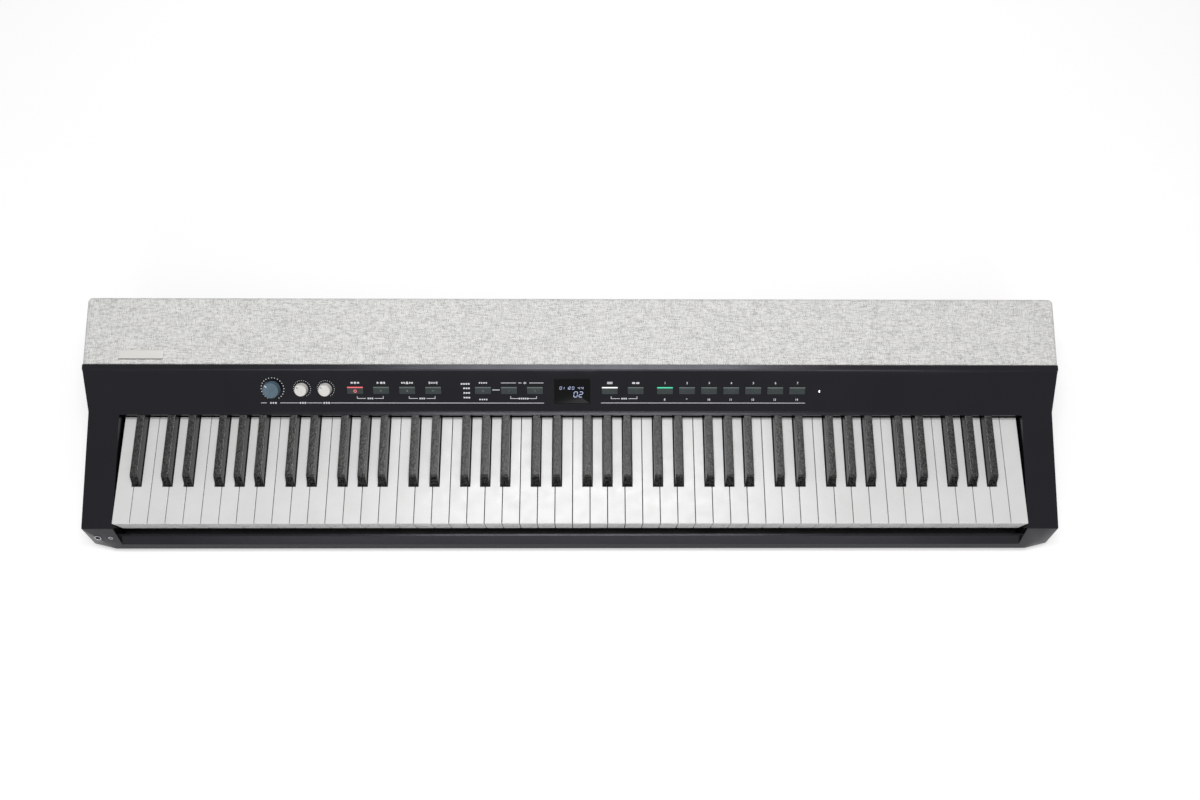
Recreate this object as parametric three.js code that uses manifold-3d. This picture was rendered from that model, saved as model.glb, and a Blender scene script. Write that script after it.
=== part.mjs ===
// Digital piano: a slab keyboard with a sloped control panel and a cloth-covered speaker lid.
// X runs from the bass end to the treble end, Y from the player to the back, Z up, in millimetres.
// Heights and depths are first given from the front top edge of the white keys, and the whole
// group is then lifted on to its feet and centred.
import * as THREE from 'three';
import { mergeVertices } from 'three/addons/utils/BufferGeometryUtils.js';
import Module from 'manifold-3d';

// Clearances and overruns
const fitGap = 0.3;
const cutOverrun = 2;

// Keyboard
const whiteKeyCount = 52;
const whitePitch = 23.5;
const whiteGap = 1.0;
const whiteTopLength = 147;
const whiteHeadLength = 50.1;
const whiteFrontHeight = 35;
const whiteSideHeight = 20;
const whiteLipThickness = 3;
const whiteEdgeBevel = 0.8;
const keyWall = 1.8;
const octaveCount = 7;
const singleKeyOctave = 4;
const blackBaseWidth = 11.8;
const blackTopWidth = 10.2;
const blackRise = 13.6;
const blackSlope = 10.9;
const blackTopBevel = 0.9;
const blackSideGap = 1.0;
const blackFrontGap = 1.2;

// Key tails and their pivot
const combBarSetback = 49;
const combBarDepth = 10;
const tailReach = 24;
const pivotDrop = 14;
const knuckleRadius = 4;
const whiteTailTop = 5;
const whiteTailUnder = 11;
const blackTailTop = 13.3;
const blackTailUnder = 19.3;

// Case outline in the side view
const cheekWidth = 44;
const cheekFrontReach = 4.5;
const cheekFrontDrop = 11;
const cheekEdgeRadius = 3;
const frontFaceRun = 20;
const frontFaceHeight = 45;
const panelFootSetback = 3;
const panelFootRise = 14.3;
const panelDepth = 52.5;
const panelRise = 35;
const panelTopRadius = 6;
const panelBackDepth = 3.7;
const panelBackRise = 0.4;
const caseWall = 3;
const keyWellSideGap = 2.5;
const keyWellFrontGap = 6.5;
const noseLap = 0.7;
const noseDepth = 1.4;
const noseRise = 0.7;
const noseRadius = 1.6;
const cornerFacetLength = 30;
const cornerFacetDepth = 7.2;

// Front rail
const railTopDrop = 37;
const railTopDepth = 4;
const railCreaseDrop = 9.5;
const railWall = 4;
const railEdgeRadius = 1;

// Cloth-covered lid
const lidSideOverhang = 1;
const lidRearOverhang = 1.8;
const lidSeam = 0.6;
const lidDepth = 92;
const lidFrontDrop = 0.1;
const lidRise = 10.8;
const lidSkirt = 14;
const lidEdgeRadius = 5;
const lidCornerRadius = 7;
const clothThickness = 1.2;
const lidFrameWall = 2.5;
const grilleSlotLength = 34;
const grilleSlotWidth = 4.4;
const grilleSlotPitch = 40;
const grilleRowPitch = 8.6;
const grilleColumnCount = 2;
const grilleRowCount = 7;

// Speakers
const speakerInset = 226;
const speakerMargin = 1.5;
const speakerFlangeWidth = 4.5;
const speakerFlangeThickness = 3;
const speakerDepth = 30;
const magnetRadius = 19;
const magnetThickness = 9;
const basketThickness = 1.6;
const dustCapRadius = 11;
const dustCapRise = 4;
const coneDepth = 12;

// Panel controls, with heights measured up the slope from its foot
const buttonWidth = 21.9;
const buttonHeight = 10.2;
const buttonRise = 1.5;
const buttonRowHeight = 31.3;
const buttonFlangeWidth = 1.2;
const buttonFlangeThickness = 1.2;
const buttonStemWidth = 6;
const buttonStemLength = 3;
const buttonTravel = 0.8;
const buttonEdgeBevel = 0.5;
const controlPitch = 35;
const volumeKnobInset = 251;
const bassKnobReach = 39.7;
const trebleKnobReach = 31.9;
const recordGroupReach = 39.4;
const functionGroupReach = 67;
const displayReach = 50.3;
const layerGroupReach = 50.7;
const soundGroupReach = 39.6;
const soundPitch = 29.87;
const soundButtonCount = 7;
const knobRowHeight = 33.2;
const volumeKnobRadius = 11.2;
const toneKnobRadius = 8.5;
const volumeKnobHeight = 10.6;
const toneKnobHeight = 10.2;
const knobDraft = 0.5;
const knobNubRadius = 2.2;
const knobNubReach = 0.9;
const knobTopBevel = 0.9;
const knobPanelGap = 0.6;
const knobHubRadius = 5;
const knobHollow = 8;
const knobPointerWidth = 1.2;
const knobPointerDepth = 0.5;
const knobPointerTurnShare = 0.125;
const shaftRadius = 3;
const shaftHoleGap = 0.5;
const potRadius = 4.5;
const potHeight = 4.6;
const displayRowHeight = 29.9;
const displayWidth = 48.5;
const displayHeight = 34.8;
const displayWindowThickness = 1.8;
const displayLedge = 3;
const displayModuleMargin = 1.5;

// Circuit boards
const boardThickness = 1.6;
const panelBoardMargin = 41;
const panelBoardFoot = 7;
const panelBoardTopMargin = 11.1;
const panelBoardDepth = 10.4;
const switchWidth = 6;
const panelPostRadius = 3.5;
const panelPostShares = [-1, -0.32, 0.25, 1];
const mainBoardWidth = 240;
const mainBoardFrontGap = 4;
const mainBoardRearGap = 6;
const mainBoardLift = 11.3;
const chipWidth = 22;
const chipHeight = 3;
const chipPlaceShares = [-0.3, -0.1, 0.1, 0.3];
const boardPostRadius = 4;

// Headphone sockets in the front face of the bass cheek, distances measured down that face and
// places along it as shares of the cheek's width from its middle
const phoneSocketShare = -0.175;
const miniSocketShare = 0.2136;
const socketFaceDistance = 22.3;
const phoneBushRadius = 4.7;
const phoneBoreRadius = 3.3;
const miniBushRadius = 3.1;
const miniBoreRadius = 1.8;
const bushProud = 0.6;
const bushHoleGap = 0.4;
const socketBoreDepth = 16;
const socketBodyWidth = 12;
const miniBodyWidth = 9;
const socketBodyDepth = 18;
const socketSetback = 2;
const socketBoardHeight = 16;

// Sockets on the back
const rearPlateInset = 325;
const rearPlateWidth = 200;
const rearPlateHeight = 24;
const rearPlateLift = 34;
const rearPlateThickness = 2.5;
const rearPlateLap = 3;
const rearSocketPitch = 28;
const rearSocketCount = 4;
const rearBodyDepth = 17;
const powerInletRadius = 5.4;
const powerPinRadius = 1.2;
const powerInletDepth = 9;
const usbWidth = 8.5;
const usbHeight = 7.8;
const usbTongueWidth = 5.6;
const usbTongueHeight = 3;

// Bottom case
const bottomDrop = 4;
const bottomThickness = 3.7;
const bottomRimHeight = 7;
const bottomRimSetback = 4;
const bottomRimThickness = 2.5;
const bottomEdgeChamfer = 3;
const ribThickness = 2.5;
const ribCellColumns = 4;
const ribCellRows = 3;
const screwWellRadius = 4.5;
const screwWellDepth = 1.6;
const screwWellInset = 34;
const screwWellColumns = 4;
const screwWellFrontInset = 68.5;
const screwWellRearInset = 61;

// Key chassis
const chassisLift = 6.8;
const chassisFloorThickness = 2.5;
const chassisFrontY = 6;
const chassisEndGap = 1.0;
const hingeRailRearDepth = 10;
const hingeRailWall = 2.6;
const cradleGap = 0.45;
const guideDepth = 9;
const guideSideGap = 0.6;
const whiteGuideY = 16;
const blackGuideSetback = 20.7;
const whiteGuideDrop = 15;
const blackGuideDrop = 7;
const chassisRibHeight = 8;

// Rubber feet
const footRadius = 12;
const footHeight = 6;
const footSpigotRadius = 3.5;
const footSpigotLength = 2.4;
const footEdge = 1.2;
const footSideInset = 70;
const footFrontInset = 42.5;
const footRearInset = 35;

// Facets on round pieces
const knobFacets = 18;
const footFacets = 12;
const smallFacets = 12;
const postFacets = 8;
const speakerFacets = 16;
const filletSteps = 3;
const knuckleSteps = 4;
const cradleSteps = 5;

// Solids by joining and cutting
const wasm = await Module();
wasm.setup();

function solid(geometry) {
  const bare = geometry.index ? geometry.toNonIndexed() : geometry.clone();
  bare.deleteAttribute('normal');
  bare.deleteAttribute('uv');
  const merged = mergeVertices(bare);
  return new wasm.Manifold(new wasm.Mesh({
    numProp: 3,
    vertProperties: new Float32Array(merged.attributes.position.array),
    triVerts: new Uint32Array(merged.index.array),
  }));
}

function geometryOf(shape) {
  const mesh = shape.getMesh();
  const geometry = new THREE.BufferGeometry();
  geometry.setAttribute('position', new THREE.BufferAttribute(new Float32Array(mesh.vertProperties), 3));
  geometry.setIndex(new THREE.BufferAttribute(new Uint32Array(mesh.triVerts), 1));
  return geometry;
}

function union(shapes) {
  return shapes.reduce((whole, next) => whole.add(next));
}

// Outlines: a corner is [x, y] or [x, y, radius]
function filleted(corners, steps = filletSteps) {
  const points = [];
  corners.forEach(([x, y, radius], index) => {
    const here = new THREE.Vector2(x, y);
    if (!radius) {
      points.push(here);
      return;
    }
    const before = new THREE.Vector2(...corners[(index + corners.length - 1) % corners.length].slice(0, 2));
    const after = new THREE.Vector2(...corners[(index + 1) % corners.length].slice(0, 2));
    const toBefore = before.sub(here).normalize();
    const toAfter = after.sub(here).normalize();
    const half = Math.acos(toBefore.dot(toAfter)) / 2;
    const centre = toBefore.clone().add(toAfter).normalize();
    centre.multiplyScalar(radius / Math.sin(half)).add(here);
    const start = toBefore.multiplyScalar(radius / Math.tan(half)).add(here).sub(centre);
    const end = toAfter.multiplyScalar(radius / Math.tan(half)).add(here).sub(centre);
    const from = Math.atan2(start.y, start.x);
    const turn = Math.atan2(start.cross(end), start.dot(end));
    for (let step = 0; step <= steps; step += 1) {
      const angle = from + turn * step / steps;
      points.push(new THREE.Vector2(Math.cos(angle), Math.sin(angle)).multiplyScalar(radius).add(centre));
    }
  });
  return points;
}

// The same outline moved inwards by a distance, for a counter-clockwise list of corners
function inset(corners, distance) {
  return corners.map(([x, y, radius], index) => {
    const before = corners[(index + corners.length - 1) % corners.length];
    const after = corners[(index + 1) % corners.length];
    const a = new THREE.Vector2(x - before[0], y - before[1]).normalize();
    const b = new THREE.Vector2(after[0] - x, after[1] - y).normalize();
    const bisector = new THREE.Vector2(-a.y - b.y, a.x + b.x).normalize();
    const reach = distance / bisector.dot(new THREE.Vector2(-a.y, a.x));
    const kept = radius ? Math.max(radius - distance, 0) : 0;
    return [x + bisector.x * reach, y + bisector.y * reach, kept];
  });
}

function extruded(points, depth) {
  return new THREE.ExtrudeGeometry(new THREE.Shape(points), { depth, bevelEnabled: false });
}

const alongX = new THREE.Matrix4().makeBasis(
  new THREE.Vector3(0, 1, 0), new THREE.Vector3(0, 0, 1), new THREE.Vector3(1, 0, 0));
const alongY = new THREE.Matrix4().makeBasis(
  new THREE.Vector3(1, 0, 0), new THREE.Vector3(0, 0, 1), new THREE.Vector3(0, -1, 0));

// A side-view outline (y, z) swept from x0 to x1
function barX(points, x0, x1) {
  return solid(extruded(points, x1 - x0).applyMatrix4(alongX).translate(x0, 0, 0));
}

// A front-view outline (x, z) swept from y0 to y1
function barY(points, y0, y1) {
  return solid(extruded(points, y1 - y0).applyMatrix4(alongY).translate(0, y1, 0));
}

// A plan outline (x, y) swept from z0 to z1
function plate(points, z0, z1) {
  return solid(extruded(points, z1 - z0).translate(0, 0, z0));
}

function block(x0, x1, y0, y1, z0, z1) {
  const box = new THREE.BoxGeometry(x1 - x0, y1 - y0, z1 - z0);
  return solid(box.translate((x0 + x1) / 2, (y0 + y1) / 2, (z0 + z1) / 2));
}

// A revolved outline (radius, height) about Z
function turned(points, facets) {
  const profile = points.map(([radius, height]) => new THREE.Vector2(radius, height));
  return solid(new THREE.LatheGeometry(profile, facets).rotateX(Math.PI / 2));
}

function drum(radius, z0, z1, facets = smallFacets) {
  return turned([[0, z0], [radius, z0], [radius, z1], [0, z1]], facets);
}

function moved(shape, matrix) {
  return shape.transform(matrix.elements);
}

function at(x, y, z) {
  return new THREE.Matrix4().makeTranslation(x, y, z);
}

// Materials
function finish(color, roughness, metalness = 0) {
  return () => new THREE.MeshStandardMaterial({ color, roughness, metalness });
}
const casePlastic = finish(0x232428, 0.45);
const innerPlastic = finish(0x1b1c1e, 0.7);
const whiteKeyPlastic = finish(0xf2f1ec, 0.3);
const blackKeyPlastic = finish(0x222324, 0.6);
const speakerCloth = finish(0xd2d2d0, 0.95);
const buttonPlastic = finish(0x3c4446, 0.5);
const blueKnobPlastic = finish(0x5a707d, 0.55);
const paleKnobPlastic = finish(0xebe9e4, 0.5);
const windowPlastic = finish(0x0b0c0e, 0.12);
const circuitBoard = finish(0x1f4a32, 0.6);
const nickel = finish(0xb9bcc0, 0.25, 1);
const paper = finish(0x2c2c2e, 0.85);
const rubber = finish(0x151515, 0.9);

const piano = new THREE.Group();
const body = new THREE.Group();
piano.add(body);

function add(parent, name, shape, material) {
  const mesh = new THREE.Mesh(geometryOf(shape), material());
  mesh.name = name;
  parent.add(mesh);
  return mesh;
}

// Widths that follow from the sizes above
const keyboardWidth = whiteKeyCount * whitePitch;
const keyboardLeft = -keyboardWidth / 2;
const wellHalfWidth = keyboardWidth / 2 + keyWellSideGap;
const caseHalfWidth = keyboardWidth / 2 + cheekWidth;
const lidHalfWidth = caseHalfWidth + lidSideOverhang;
const cheekMiddleX = keyboardLeft - cheekWidth / 2;
const phoneSocketX = cheekMiddleX + phoneSocketShare * cheekWidth;
const miniSocketX = cheekMiddleX + miniSocketShare * cheekWidth;
const rearPlateX = rearPlateInset - caseHalfWidth;
const mainBoardX = rearPlateX;
const speakerX = lidHalfWidth - speakerInset;

// Depths, from the front of the keys to the back of the lid
const cheekFrontY = -cheekFrontReach;
const frontBottomY = cheekFrontY - frontFaceRun;
const keyWellFrontY = -keyWellFrontGap;
const blackFrontY = whiteHeadLength + blackFrontGap;
const noseY = whiteTopLength - noseLap;
const blackRearY = noseY - fitGap;
const panelFootY = whiteTopLength + panelFootSetback;
const panelTopY = panelFootY + panelDepth;
const panelBackY = panelTopY + panelBackDepth;
const lidFrontY = panelBackY + lidSeam;
const lidRearY = lidFrontY + lidDepth;
const caseRearY = lidRearY - lidRearOverhang;
const combBarFront = whiteTopLength + combBarSetback;
const combBarRear = combBarFront + combBarDepth;
const pivotY = combBarRear + tailReach;
const hingeRailRearY = pivotY + hingeRailRearDepth;
const mainBoardFrontY = hingeRailRearY + mainBoardFrontGap;
const mainBoardDepth = caseRearY - caseWall - mainBoardRearGap - mainBoardFrontY;
const frameInset = clothThickness + fitGap;
const speakerRadius = lidDepth / 2 - frameInset - lidFrameWall - speakerMargin - speakerFlangeWidth;

// Heights, from the top of the white keys
const cheekFrontZ = -cheekFrontDrop;
const frontBottomZ = cheekFrontZ - frontFaceHeight;
const bottomZ = frontBottomZ - bottomDrop;
const railTopZ = -railTopDrop;
const railCreaseZ = railTopZ - railCreaseDrop;
const panelFootZ = panelFootRise;
const panelTopZ = panelFootZ + panelRise;
const lidFrontZ = panelTopZ - lidFrontDrop;
const lidRearZ = lidFrontZ + lidRise;
const floorTopZ = bottomZ + bottomThickness;
const chassisFloorZ = floorTopZ + chassisLift;
const mainBoardZ = floorTopZ + mainBoardLift;
const rearPlateZ = bottomZ + rearPlateLift;
const panelSlope = Math.atan2(panelRise, panelDepth);
const lidSlope = Math.atan2(lidRise, lidDepth);
const faceSlope = Math.atan2(frontFaceRun, frontFaceHeight);

function lidTopAt(y) {
  return lidFrontZ + (y - lidFrontY) * Math.tan(lidSlope);
}

function ledgeAt(y) {
  return lidTopAt(y) - lidSkirt;
}

// Panel frame: x along the case, y up the slope, z out of the panel
const panelMatrix = new THREE.Matrix4().makeTranslation(0, panelFootY, panelFootZ)
  .multiply(new THREE.Matrix4().makeRotationX(panelSlope));
const panel = new THREE.Group();
panel.applyMatrix4(panelMatrix);
body.add(panel);

// Socket frame on the front face of the cheeks: y up the face, z out of it
const socketMatrix = new THREE.Matrix4()
  .makeTranslation(0, cheekFrontY - Math.sin(faceSlope) * socketFaceDistance,
    cheekFrontZ - Math.cos(faceSlope) * socketFaceDistance)
  .multiply(new THREE.Matrix4().makeRotationX(Math.PI / 2 - faceSlope));
const socketFace = new THREE.Group();
socketFace.applyMatrix4(socketMatrix);
body.add(socketFace);

// Controls in their groups along the panel, from the volume knob at the bass end
const volumeKnobX = volumeKnobInset - caseHalfWidth;
const bassKnobX = volumeKnobX + bassKnobReach;
const trebleKnobX = bassKnobX + trebleKnobReach;
const recordGroupX = trebleKnobX + recordGroupReach;
const functionGroupX = recordGroupX + 3 * controlPitch + functionGroupReach;
const displayX = functionGroupX + 2 * controlPitch + displayReach;
const layerGroupX = displayX + layerGroupReach;
const soundGroupX = layerGroupX + controlPitch + soundGroupReach;
const soundGroupEndX = soundGroupX + (soundButtonCount - 1) * soundPitch;

// Buttons: name and place along the panel
const buttons = [
  ['record', recordGroupX],
  ['play', recordGroupX + controlPitch],
  ['metronome', recordGroupX + 2 * controlPitch],
  ['rhythm', recordGroupX + 3 * controlPitch],
  ['function', functionGroupX],
  ['tempo_down', functionGroupX + controlPitch],
  ['tempo_up', functionGroupX + 2 * controlPitch],
  ['layer', layerGroupX],
  ['split', layerGroupX + controlPitch],
];
for (let index = 0; index < soundButtonCount; index += 1) {
  buttons.push([`sound_${index + 1}`, soundGroupX + index * soundPitch]);
}

const knobs = [
  ['volume', volumeKnobX, volumeKnobRadius, volumeKnobHeight, blueKnobPlastic],
  ['bass', bassKnobX, toneKnobRadius, toneKnobHeight, paleKnobPlastic],
  ['treble', trebleKnobX, toneKnobRadius, toneKnobHeight, paleKnobPlastic],
];

function slab(x, y, width, height, z0, z1) {
  return block(x - width / 2, x + width / 2, y - height / 2, y + height / 2, z0, z1);
}

// Top case: cheeks, control panel, front rail and the box under the lid, as one shell
const boxCorners = [
  [frontBottomY, frontBottomZ],
  [caseRearY, frontBottomZ],
  [caseRearY, ledgeAt(caseRearY)],
  [panelBackY, ledgeAt(panelBackY)],
];
const cheekCorners = [
  [panelFootY, panelFootZ],
  [cheekFrontY, cheekFrontZ, cheekEdgeRadius],
];
const caseOutline = [
  ...boxCorners,
  [panelBackY, panelTopZ + panelBackRise],
  [panelTopY, panelTopZ, panelTopRadius],
  ...cheekCorners,
];
const hollowOutline = [
  ...boxCorners,
  [panelBackY, panelTopZ + panelBackDepth * Math.tan(panelSlope)],
  ...cheekCorners,
];

function cornerFacet(side, depth) {
  const along = new THREE.Vector3(-side * cornerFacetLength, -cornerFacetDepth, 0).normalize();
  const outward = new THREE.Vector3(side * cornerFacetDepth, -cornerFacetLength, 0).normalize();
  const apexDepth = (cheekFrontY - frontBottomY - cornerFacetDepth) * outward.y;
  const rise = cheekFrontZ - frontBottomZ;
  const lean = apexDepth / rise;
  const low = -cutOverrun - rise;
  const high = rise * 2;
  const reach = rise * 2;
  const points = filleted([
    [lean * low - depth, low], [reach, low], [reach, high], [lean * high - depth, high],
  ]);
  const basis = new THREE.Matrix4().makeBasis(outward, new THREE.Vector3(0, 0, 1),
    outward.clone().cross(new THREE.Vector3(0, 0, 1)));
  const swing = 4 * cornerFacetLength;
  const cutter = extruded(points, swing).translate(0, 0, -swing / 2).applyMatrix4(basis);
  return solid(cutter.translate(side * caseHalfWidth, frontBottomY + cornerFacetDepth, frontBottomZ));
}

// Depth of the sloped front face at a height
function faceAt(z) {
  return frontBottomY + (z - frontBottomZ) * Math.tan(faceSlope);
}

// Side view of the opening cut for the keys, down to the bevelled front rail
function keyWellOutline() {
  const railOuterY = keyWellFrontY - railTopDepth;
  const bevelRun = railOuterY - faceAt(railCreaseZ);
  const bevelDrop = railTopZ - railCreaseZ;
  const high = panelTopZ + cutOverrun;
  const low = frontBottomZ - cutOverrun;
  const lipY = panelFootY + noseDepth;
  return [
    [railOuterY - 2 * bevelRun, high],
    [railOuterY - 2 * bevelRun, railTopZ - 2 * bevelDrop],
    [railOuterY, railTopZ, railEdgeRadius],
    [keyWellFrontY, railTopZ, railEdgeRadius],
    [keyWellFrontY, low],
    [noseY, low],
    [noseY, panelFootZ, noseRadius],
    [lipY, panelFootZ + noseRise],
    [lipY, high],
  ];
}

// Side view of the rail's own thickness, kept out of the hollow of the case
function railOutline() {
  const low = frontBottomZ - 2 * cutOverrun;
  const underZ = railTopZ - railWall;
  return [
    [frontBottomY - cutOverrun, low], [faceAt(frontBottomZ) + railWall, low],
    [faceAt(frontBottomZ) + railWall, frontBottomZ], [faceAt(railCreaseZ) + railWall, railCreaseZ],
    [keyWellFrontY - railWall, underZ], [keyWellFrontY + cutOverrun, underZ],
    [keyWellFrontY + cutOverrun, railTopZ + cutOverrun], [frontBottomY - cutOverrun, railTopZ + cutOverrun],
  ];
}

function topCase() {
  let shell = barX(filleted(caseOutline), -caseHalfWidth, caseHalfWidth);
  const inner = inset(hollowOutline, caseWall);
  const openZ = frontBottomZ - cutOverrun;
  inner[0] = [inner[0][0] + (openZ - inner[0][1]) * Math.tan(faceSlope), openZ];
  inner[1][1] = openZ;
  const innerHalf = caseHalfWidth - caseWall;
  let hollow = barX(filleted(inner), -innerHalf, innerHalf);
  const railHalf = wellHalfWidth + caseWall / 2;
  hollow = hollow.subtract(barX(filleted(railOutline()), -railHalf, railHalf));
  const wallBottomZ = floorTopZ + bottomRimHeight + fitGap;
  for (const side of [-1, 1]) {
    shell = shell.subtract(cornerFacet(side, 0));
    hollow = hollow.subtract(cornerFacet(side, caseWall));
    const middle = side * (wellHalfWidth + caseWall / 2);
    hollow = hollow.subtract(block(middle - caseWall / 2, middle + caseWall / 2,
      frontBottomY - cutOverrun, panelFootY, wallBottomZ, panelTopZ));
  }
  shell = shell.subtract(hollow);
  shell = shell.subtract(barX(filleted(keyWellOutline()), -wellHalfWidth, wellHalfWidth));

  // Openings in the panel and the posts that carry the panel board
  const through = -caseWall - cutOverrun;
  const panelCuts = buttons.map(([, x]) => slab(x, buttonRowHeight,
    buttonWidth + 2 * fitGap, buttonHeight + 2 * fitGap, through, cutOverrun));
  knobs.forEach(([, x]) => {
    panelCuts.push(moved(drum(shaftRadius + shaftHoleGap, through, cutOverrun), at(x, knobRowHeight, 0)));
  });
  panelCuts.push(slab(displayX, displayRowHeight, displayWidth, displayHeight,
    -displayWindowThickness - fitGap, cutOverrun));
  panelCuts.push(slab(displayX, displayRowHeight, displayWidth - 2 * displayLedge,
    displayHeight - 2 * displayLedge, through, cutOverrun));
  panelCuts.forEach((cut) => {
    shell = shell.subtract(moved(cut, panelMatrix));
  });
  panelPostPlaces().forEach(([x, y]) => {
    const post = drum(panelPostRadius, -panelBoardDepth + fitGap, -caseWall / 2, postFacets);
    shell = shell.add(moved(moved(post, at(x, y, 0)), panelMatrix));
  });

  // Holes for the headphone sockets, the rear sockets and the speakers
  for (const [x, radius] of [[phoneSocketX, phoneBushRadius], [miniSocketX, miniBushRadius]]) {
    const hole = moved(drum(radius + bushHoleGap, -3 * caseWall, cutOverrun), at(x, 0, 0));
    shell = shell.subtract(moved(hole, socketMatrix));
  }
  shell = shell.subtract(block(
    rearPlateX - rearPlateWidth / 2, rearPlateX + rearPlateWidth / 2,
    caseRearY - caseWall - cutOverrun, caseRearY + cutOverrun,
    rearPlateZ - rearPlateHeight / 2, rearPlateZ + rearPlateHeight / 2));
  for (const side of [-1, 1]) {
    const opening = drum(speakerRadius + fitGap, -caseWall - cutOverrun, cutOverrun, speakerFacets);
    shell = shell.subtract(moved(opening, speakerMatrix(side)));
  }
  return shell;
}

// The panel board reaches past the first and last control, and stops short of the panel's top
const panelBoardX = (volumeKnobX + soundGroupEndX) / 2;
const panelBoardWidth = soundGroupEndX - volumeKnobX + 2 * panelBoardMargin;
const panelBoardHeight = Math.hypot(panelDepth, panelRise) - panelBoardFoot - panelBoardTopMargin;

function panelPostPlaces() {
  const half = panelBoardWidth / 2 - 2 * panelPostRadius;
  const low = panelBoardFoot + panelPostRadius;
  const high = panelBoardFoot + panelBoardHeight - panelPostRadius;
  const places = [];
  for (const share of panelPostShares) {
    places.push([panelBoardX + half * share, low], [panelBoardX + half * share, high]);
  }
  return places;
}

// Speaker frame: z out of the sloped shelf under the lid
function speakerMatrix(side) {
  const middle = (panelBackY + caseRearY) / 2;
  return at(side * speakerX, middle, ledgeAt(middle))
    .multiply(new THREE.Matrix4().makeRotationX(lidSlope));
}

add(body, 'top_case', topCase(), casePlastic);

// Plan of the bottom case, a gap inside the walls and a setback behind the sloped front
function bottomOutline(gap, setback) {
  const half = caseHalfWidth - caseWall - gap;
  const front = frontBottomY + caseWall + setback;
  const rear = caseRearY - caseWall - gap;
  return [
    [-half + cornerFacetLength, front], [half - cornerFacetLength, front],
    [half, front + cornerFacetDepth], [half, rear], [-half, rear], [-half, front + cornerFacetDepth],
  ];
}

function footPlaces() {
  const x = caseHalfWidth - footSideInset;
  const front = frontBottomY + footFrontInset;
  const rear = caseRearY - footRearInset;
  return [
    ['foot_front_left', -x, front], ['foot_front_right', x, front],
    ['foot_rear_left', -x, rear], ['foot_rear_right', x, rear],
  ];
}

function bottomCase() {
  const root = floorTopZ - ribThickness / 2;
  const rimTop = floorTopZ + bottomRimHeight;
  const rim = bottomOutline(fitGap, bottomRimSetback);
  const half = caseHalfWidth - caseWall;
  let tray = plate(filleted(bottomOutline(0, 0)), bottomZ, floorTopZ)
    .add(plate(filleted(rim), root, rimTop))
    .subtract(plate(filleted(inset(rim, bottomRimThickness)), floorTopZ, rimTop + cutOverrun));

  // Ribs under the key chassis, and posts for the main board
  const ribTop = chassisFloorZ - chassisFloorThickness - fitGap;
  const gridLeft = keyboardLeft;
  const gridRear = hingeRailRearY - ribThickness;
  let grid = block(gridLeft, -gridLeft, chassisFrontY, gridRear, root, ribTop);
  const cellWidth = (keyboardWidth - (ribCellColumns + 1) * ribThickness) / ribCellColumns;
  const cellDepth = (gridRear - chassisFrontY - (ribCellRows + 1) * ribThickness) / ribCellRows;
  for (let column = 0; column < ribCellColumns; column += 1) {
    for (let row = 0; row < ribCellRows; row += 1) {
      const x = gridLeft + ribThickness + column * (cellWidth + ribThickness);
      const y = chassisFrontY + ribThickness + row * (cellDepth + ribThickness);
      const cell = block(x, x + cellWidth, y, y + cellDepth, root - cutOverrun, ribTop + cutOverrun);
      grid = grid.subtract(cell);
    }
  }
  tray = tray.add(grid);
  mainBoardPosts().forEach(([x, y]) => {
    const post = drum(boardPostRadius, root, mainBoardZ - fitGap, postFacets);
    tray = tray.add(moved(post, at(x, y, 0)));
  });

  // Chamfers along the front and back edges, foot sockets and screw wells
  const edge = bottomEdgeChamfer + cutOverrun;
  const frontY = frontBottomY + caseWall - cutOverrun;
  const rearY = caseRearY - caseWall + cutOverrun;
  const low = bottomZ - cutOverrun;
  [[frontY, edge], [rearY, -edge]].forEach(([y, reach]) => {
    const corners = [[y, low], [y + reach, low], [y, low + edge]];
    const ordered = reach > 0 ? corners : corners.reverse();
    tray = tray.subtract(barX(filleted(ordered), -half - cutOverrun, half + cutOverrun));
  });
  footPlaces().forEach(([, x, y]) => {
    const socket = drum(footSpigotRadius + fitGap, low, bottomZ + footSpigotLength + fitGap, footFacets);
    tray = tray.subtract(moved(socket, at(x, y, 0)));
  });
  const columnPitch = (2 * half - 2 * screwWellInset) / (screwWellColumns - 1);
  for (let column = 0; column < screwWellColumns; column += 1) {
    for (const y of [frontBottomY + screwWellFrontInset, caseRearY - screwWellRearInset]) {
      const well = drum(screwWellRadius, low, bottomZ + screwWellDepth, postFacets);
      tray = tray.subtract(moved(well, at(-half + screwWellInset + column * columnPitch, y, 0)));
    }
  }
  return tray;
}

function mainBoardPosts() {
  const margin = 2 * boardPostRadius;
  const x = mainBoardWidth / 2 - margin;
  const front = mainBoardFrontY + margin;
  const rear = mainBoardFrontY + mainBoardDepth - margin;
  return [
    [mainBoardX - x, front], [mainBoardX + x, front], [mainBoardX - x, rear], [mainBoardX + x, rear],
  ];
}

add(body, 'bottom_case', bottomCase(), innerPlastic);

footPlaces().forEach(([name, x, y]) => {
  const foot = turned([
    [0, bottomZ - footHeight], [footRadius - footEdge, bottomZ - footHeight],
    [footRadius, bottomZ - footHeight + footEdge], [footRadius, bottomZ - fitGap],
    [footSpigotRadius, bottomZ - fitGap], [footSpigotRadius, bottomZ + footSpigotLength],
    [0, bottomZ + footSpigotLength],
  ], footFacets);
  add(body, name, moved(foot, at(x, y, 0)), rubber);
});

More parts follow.
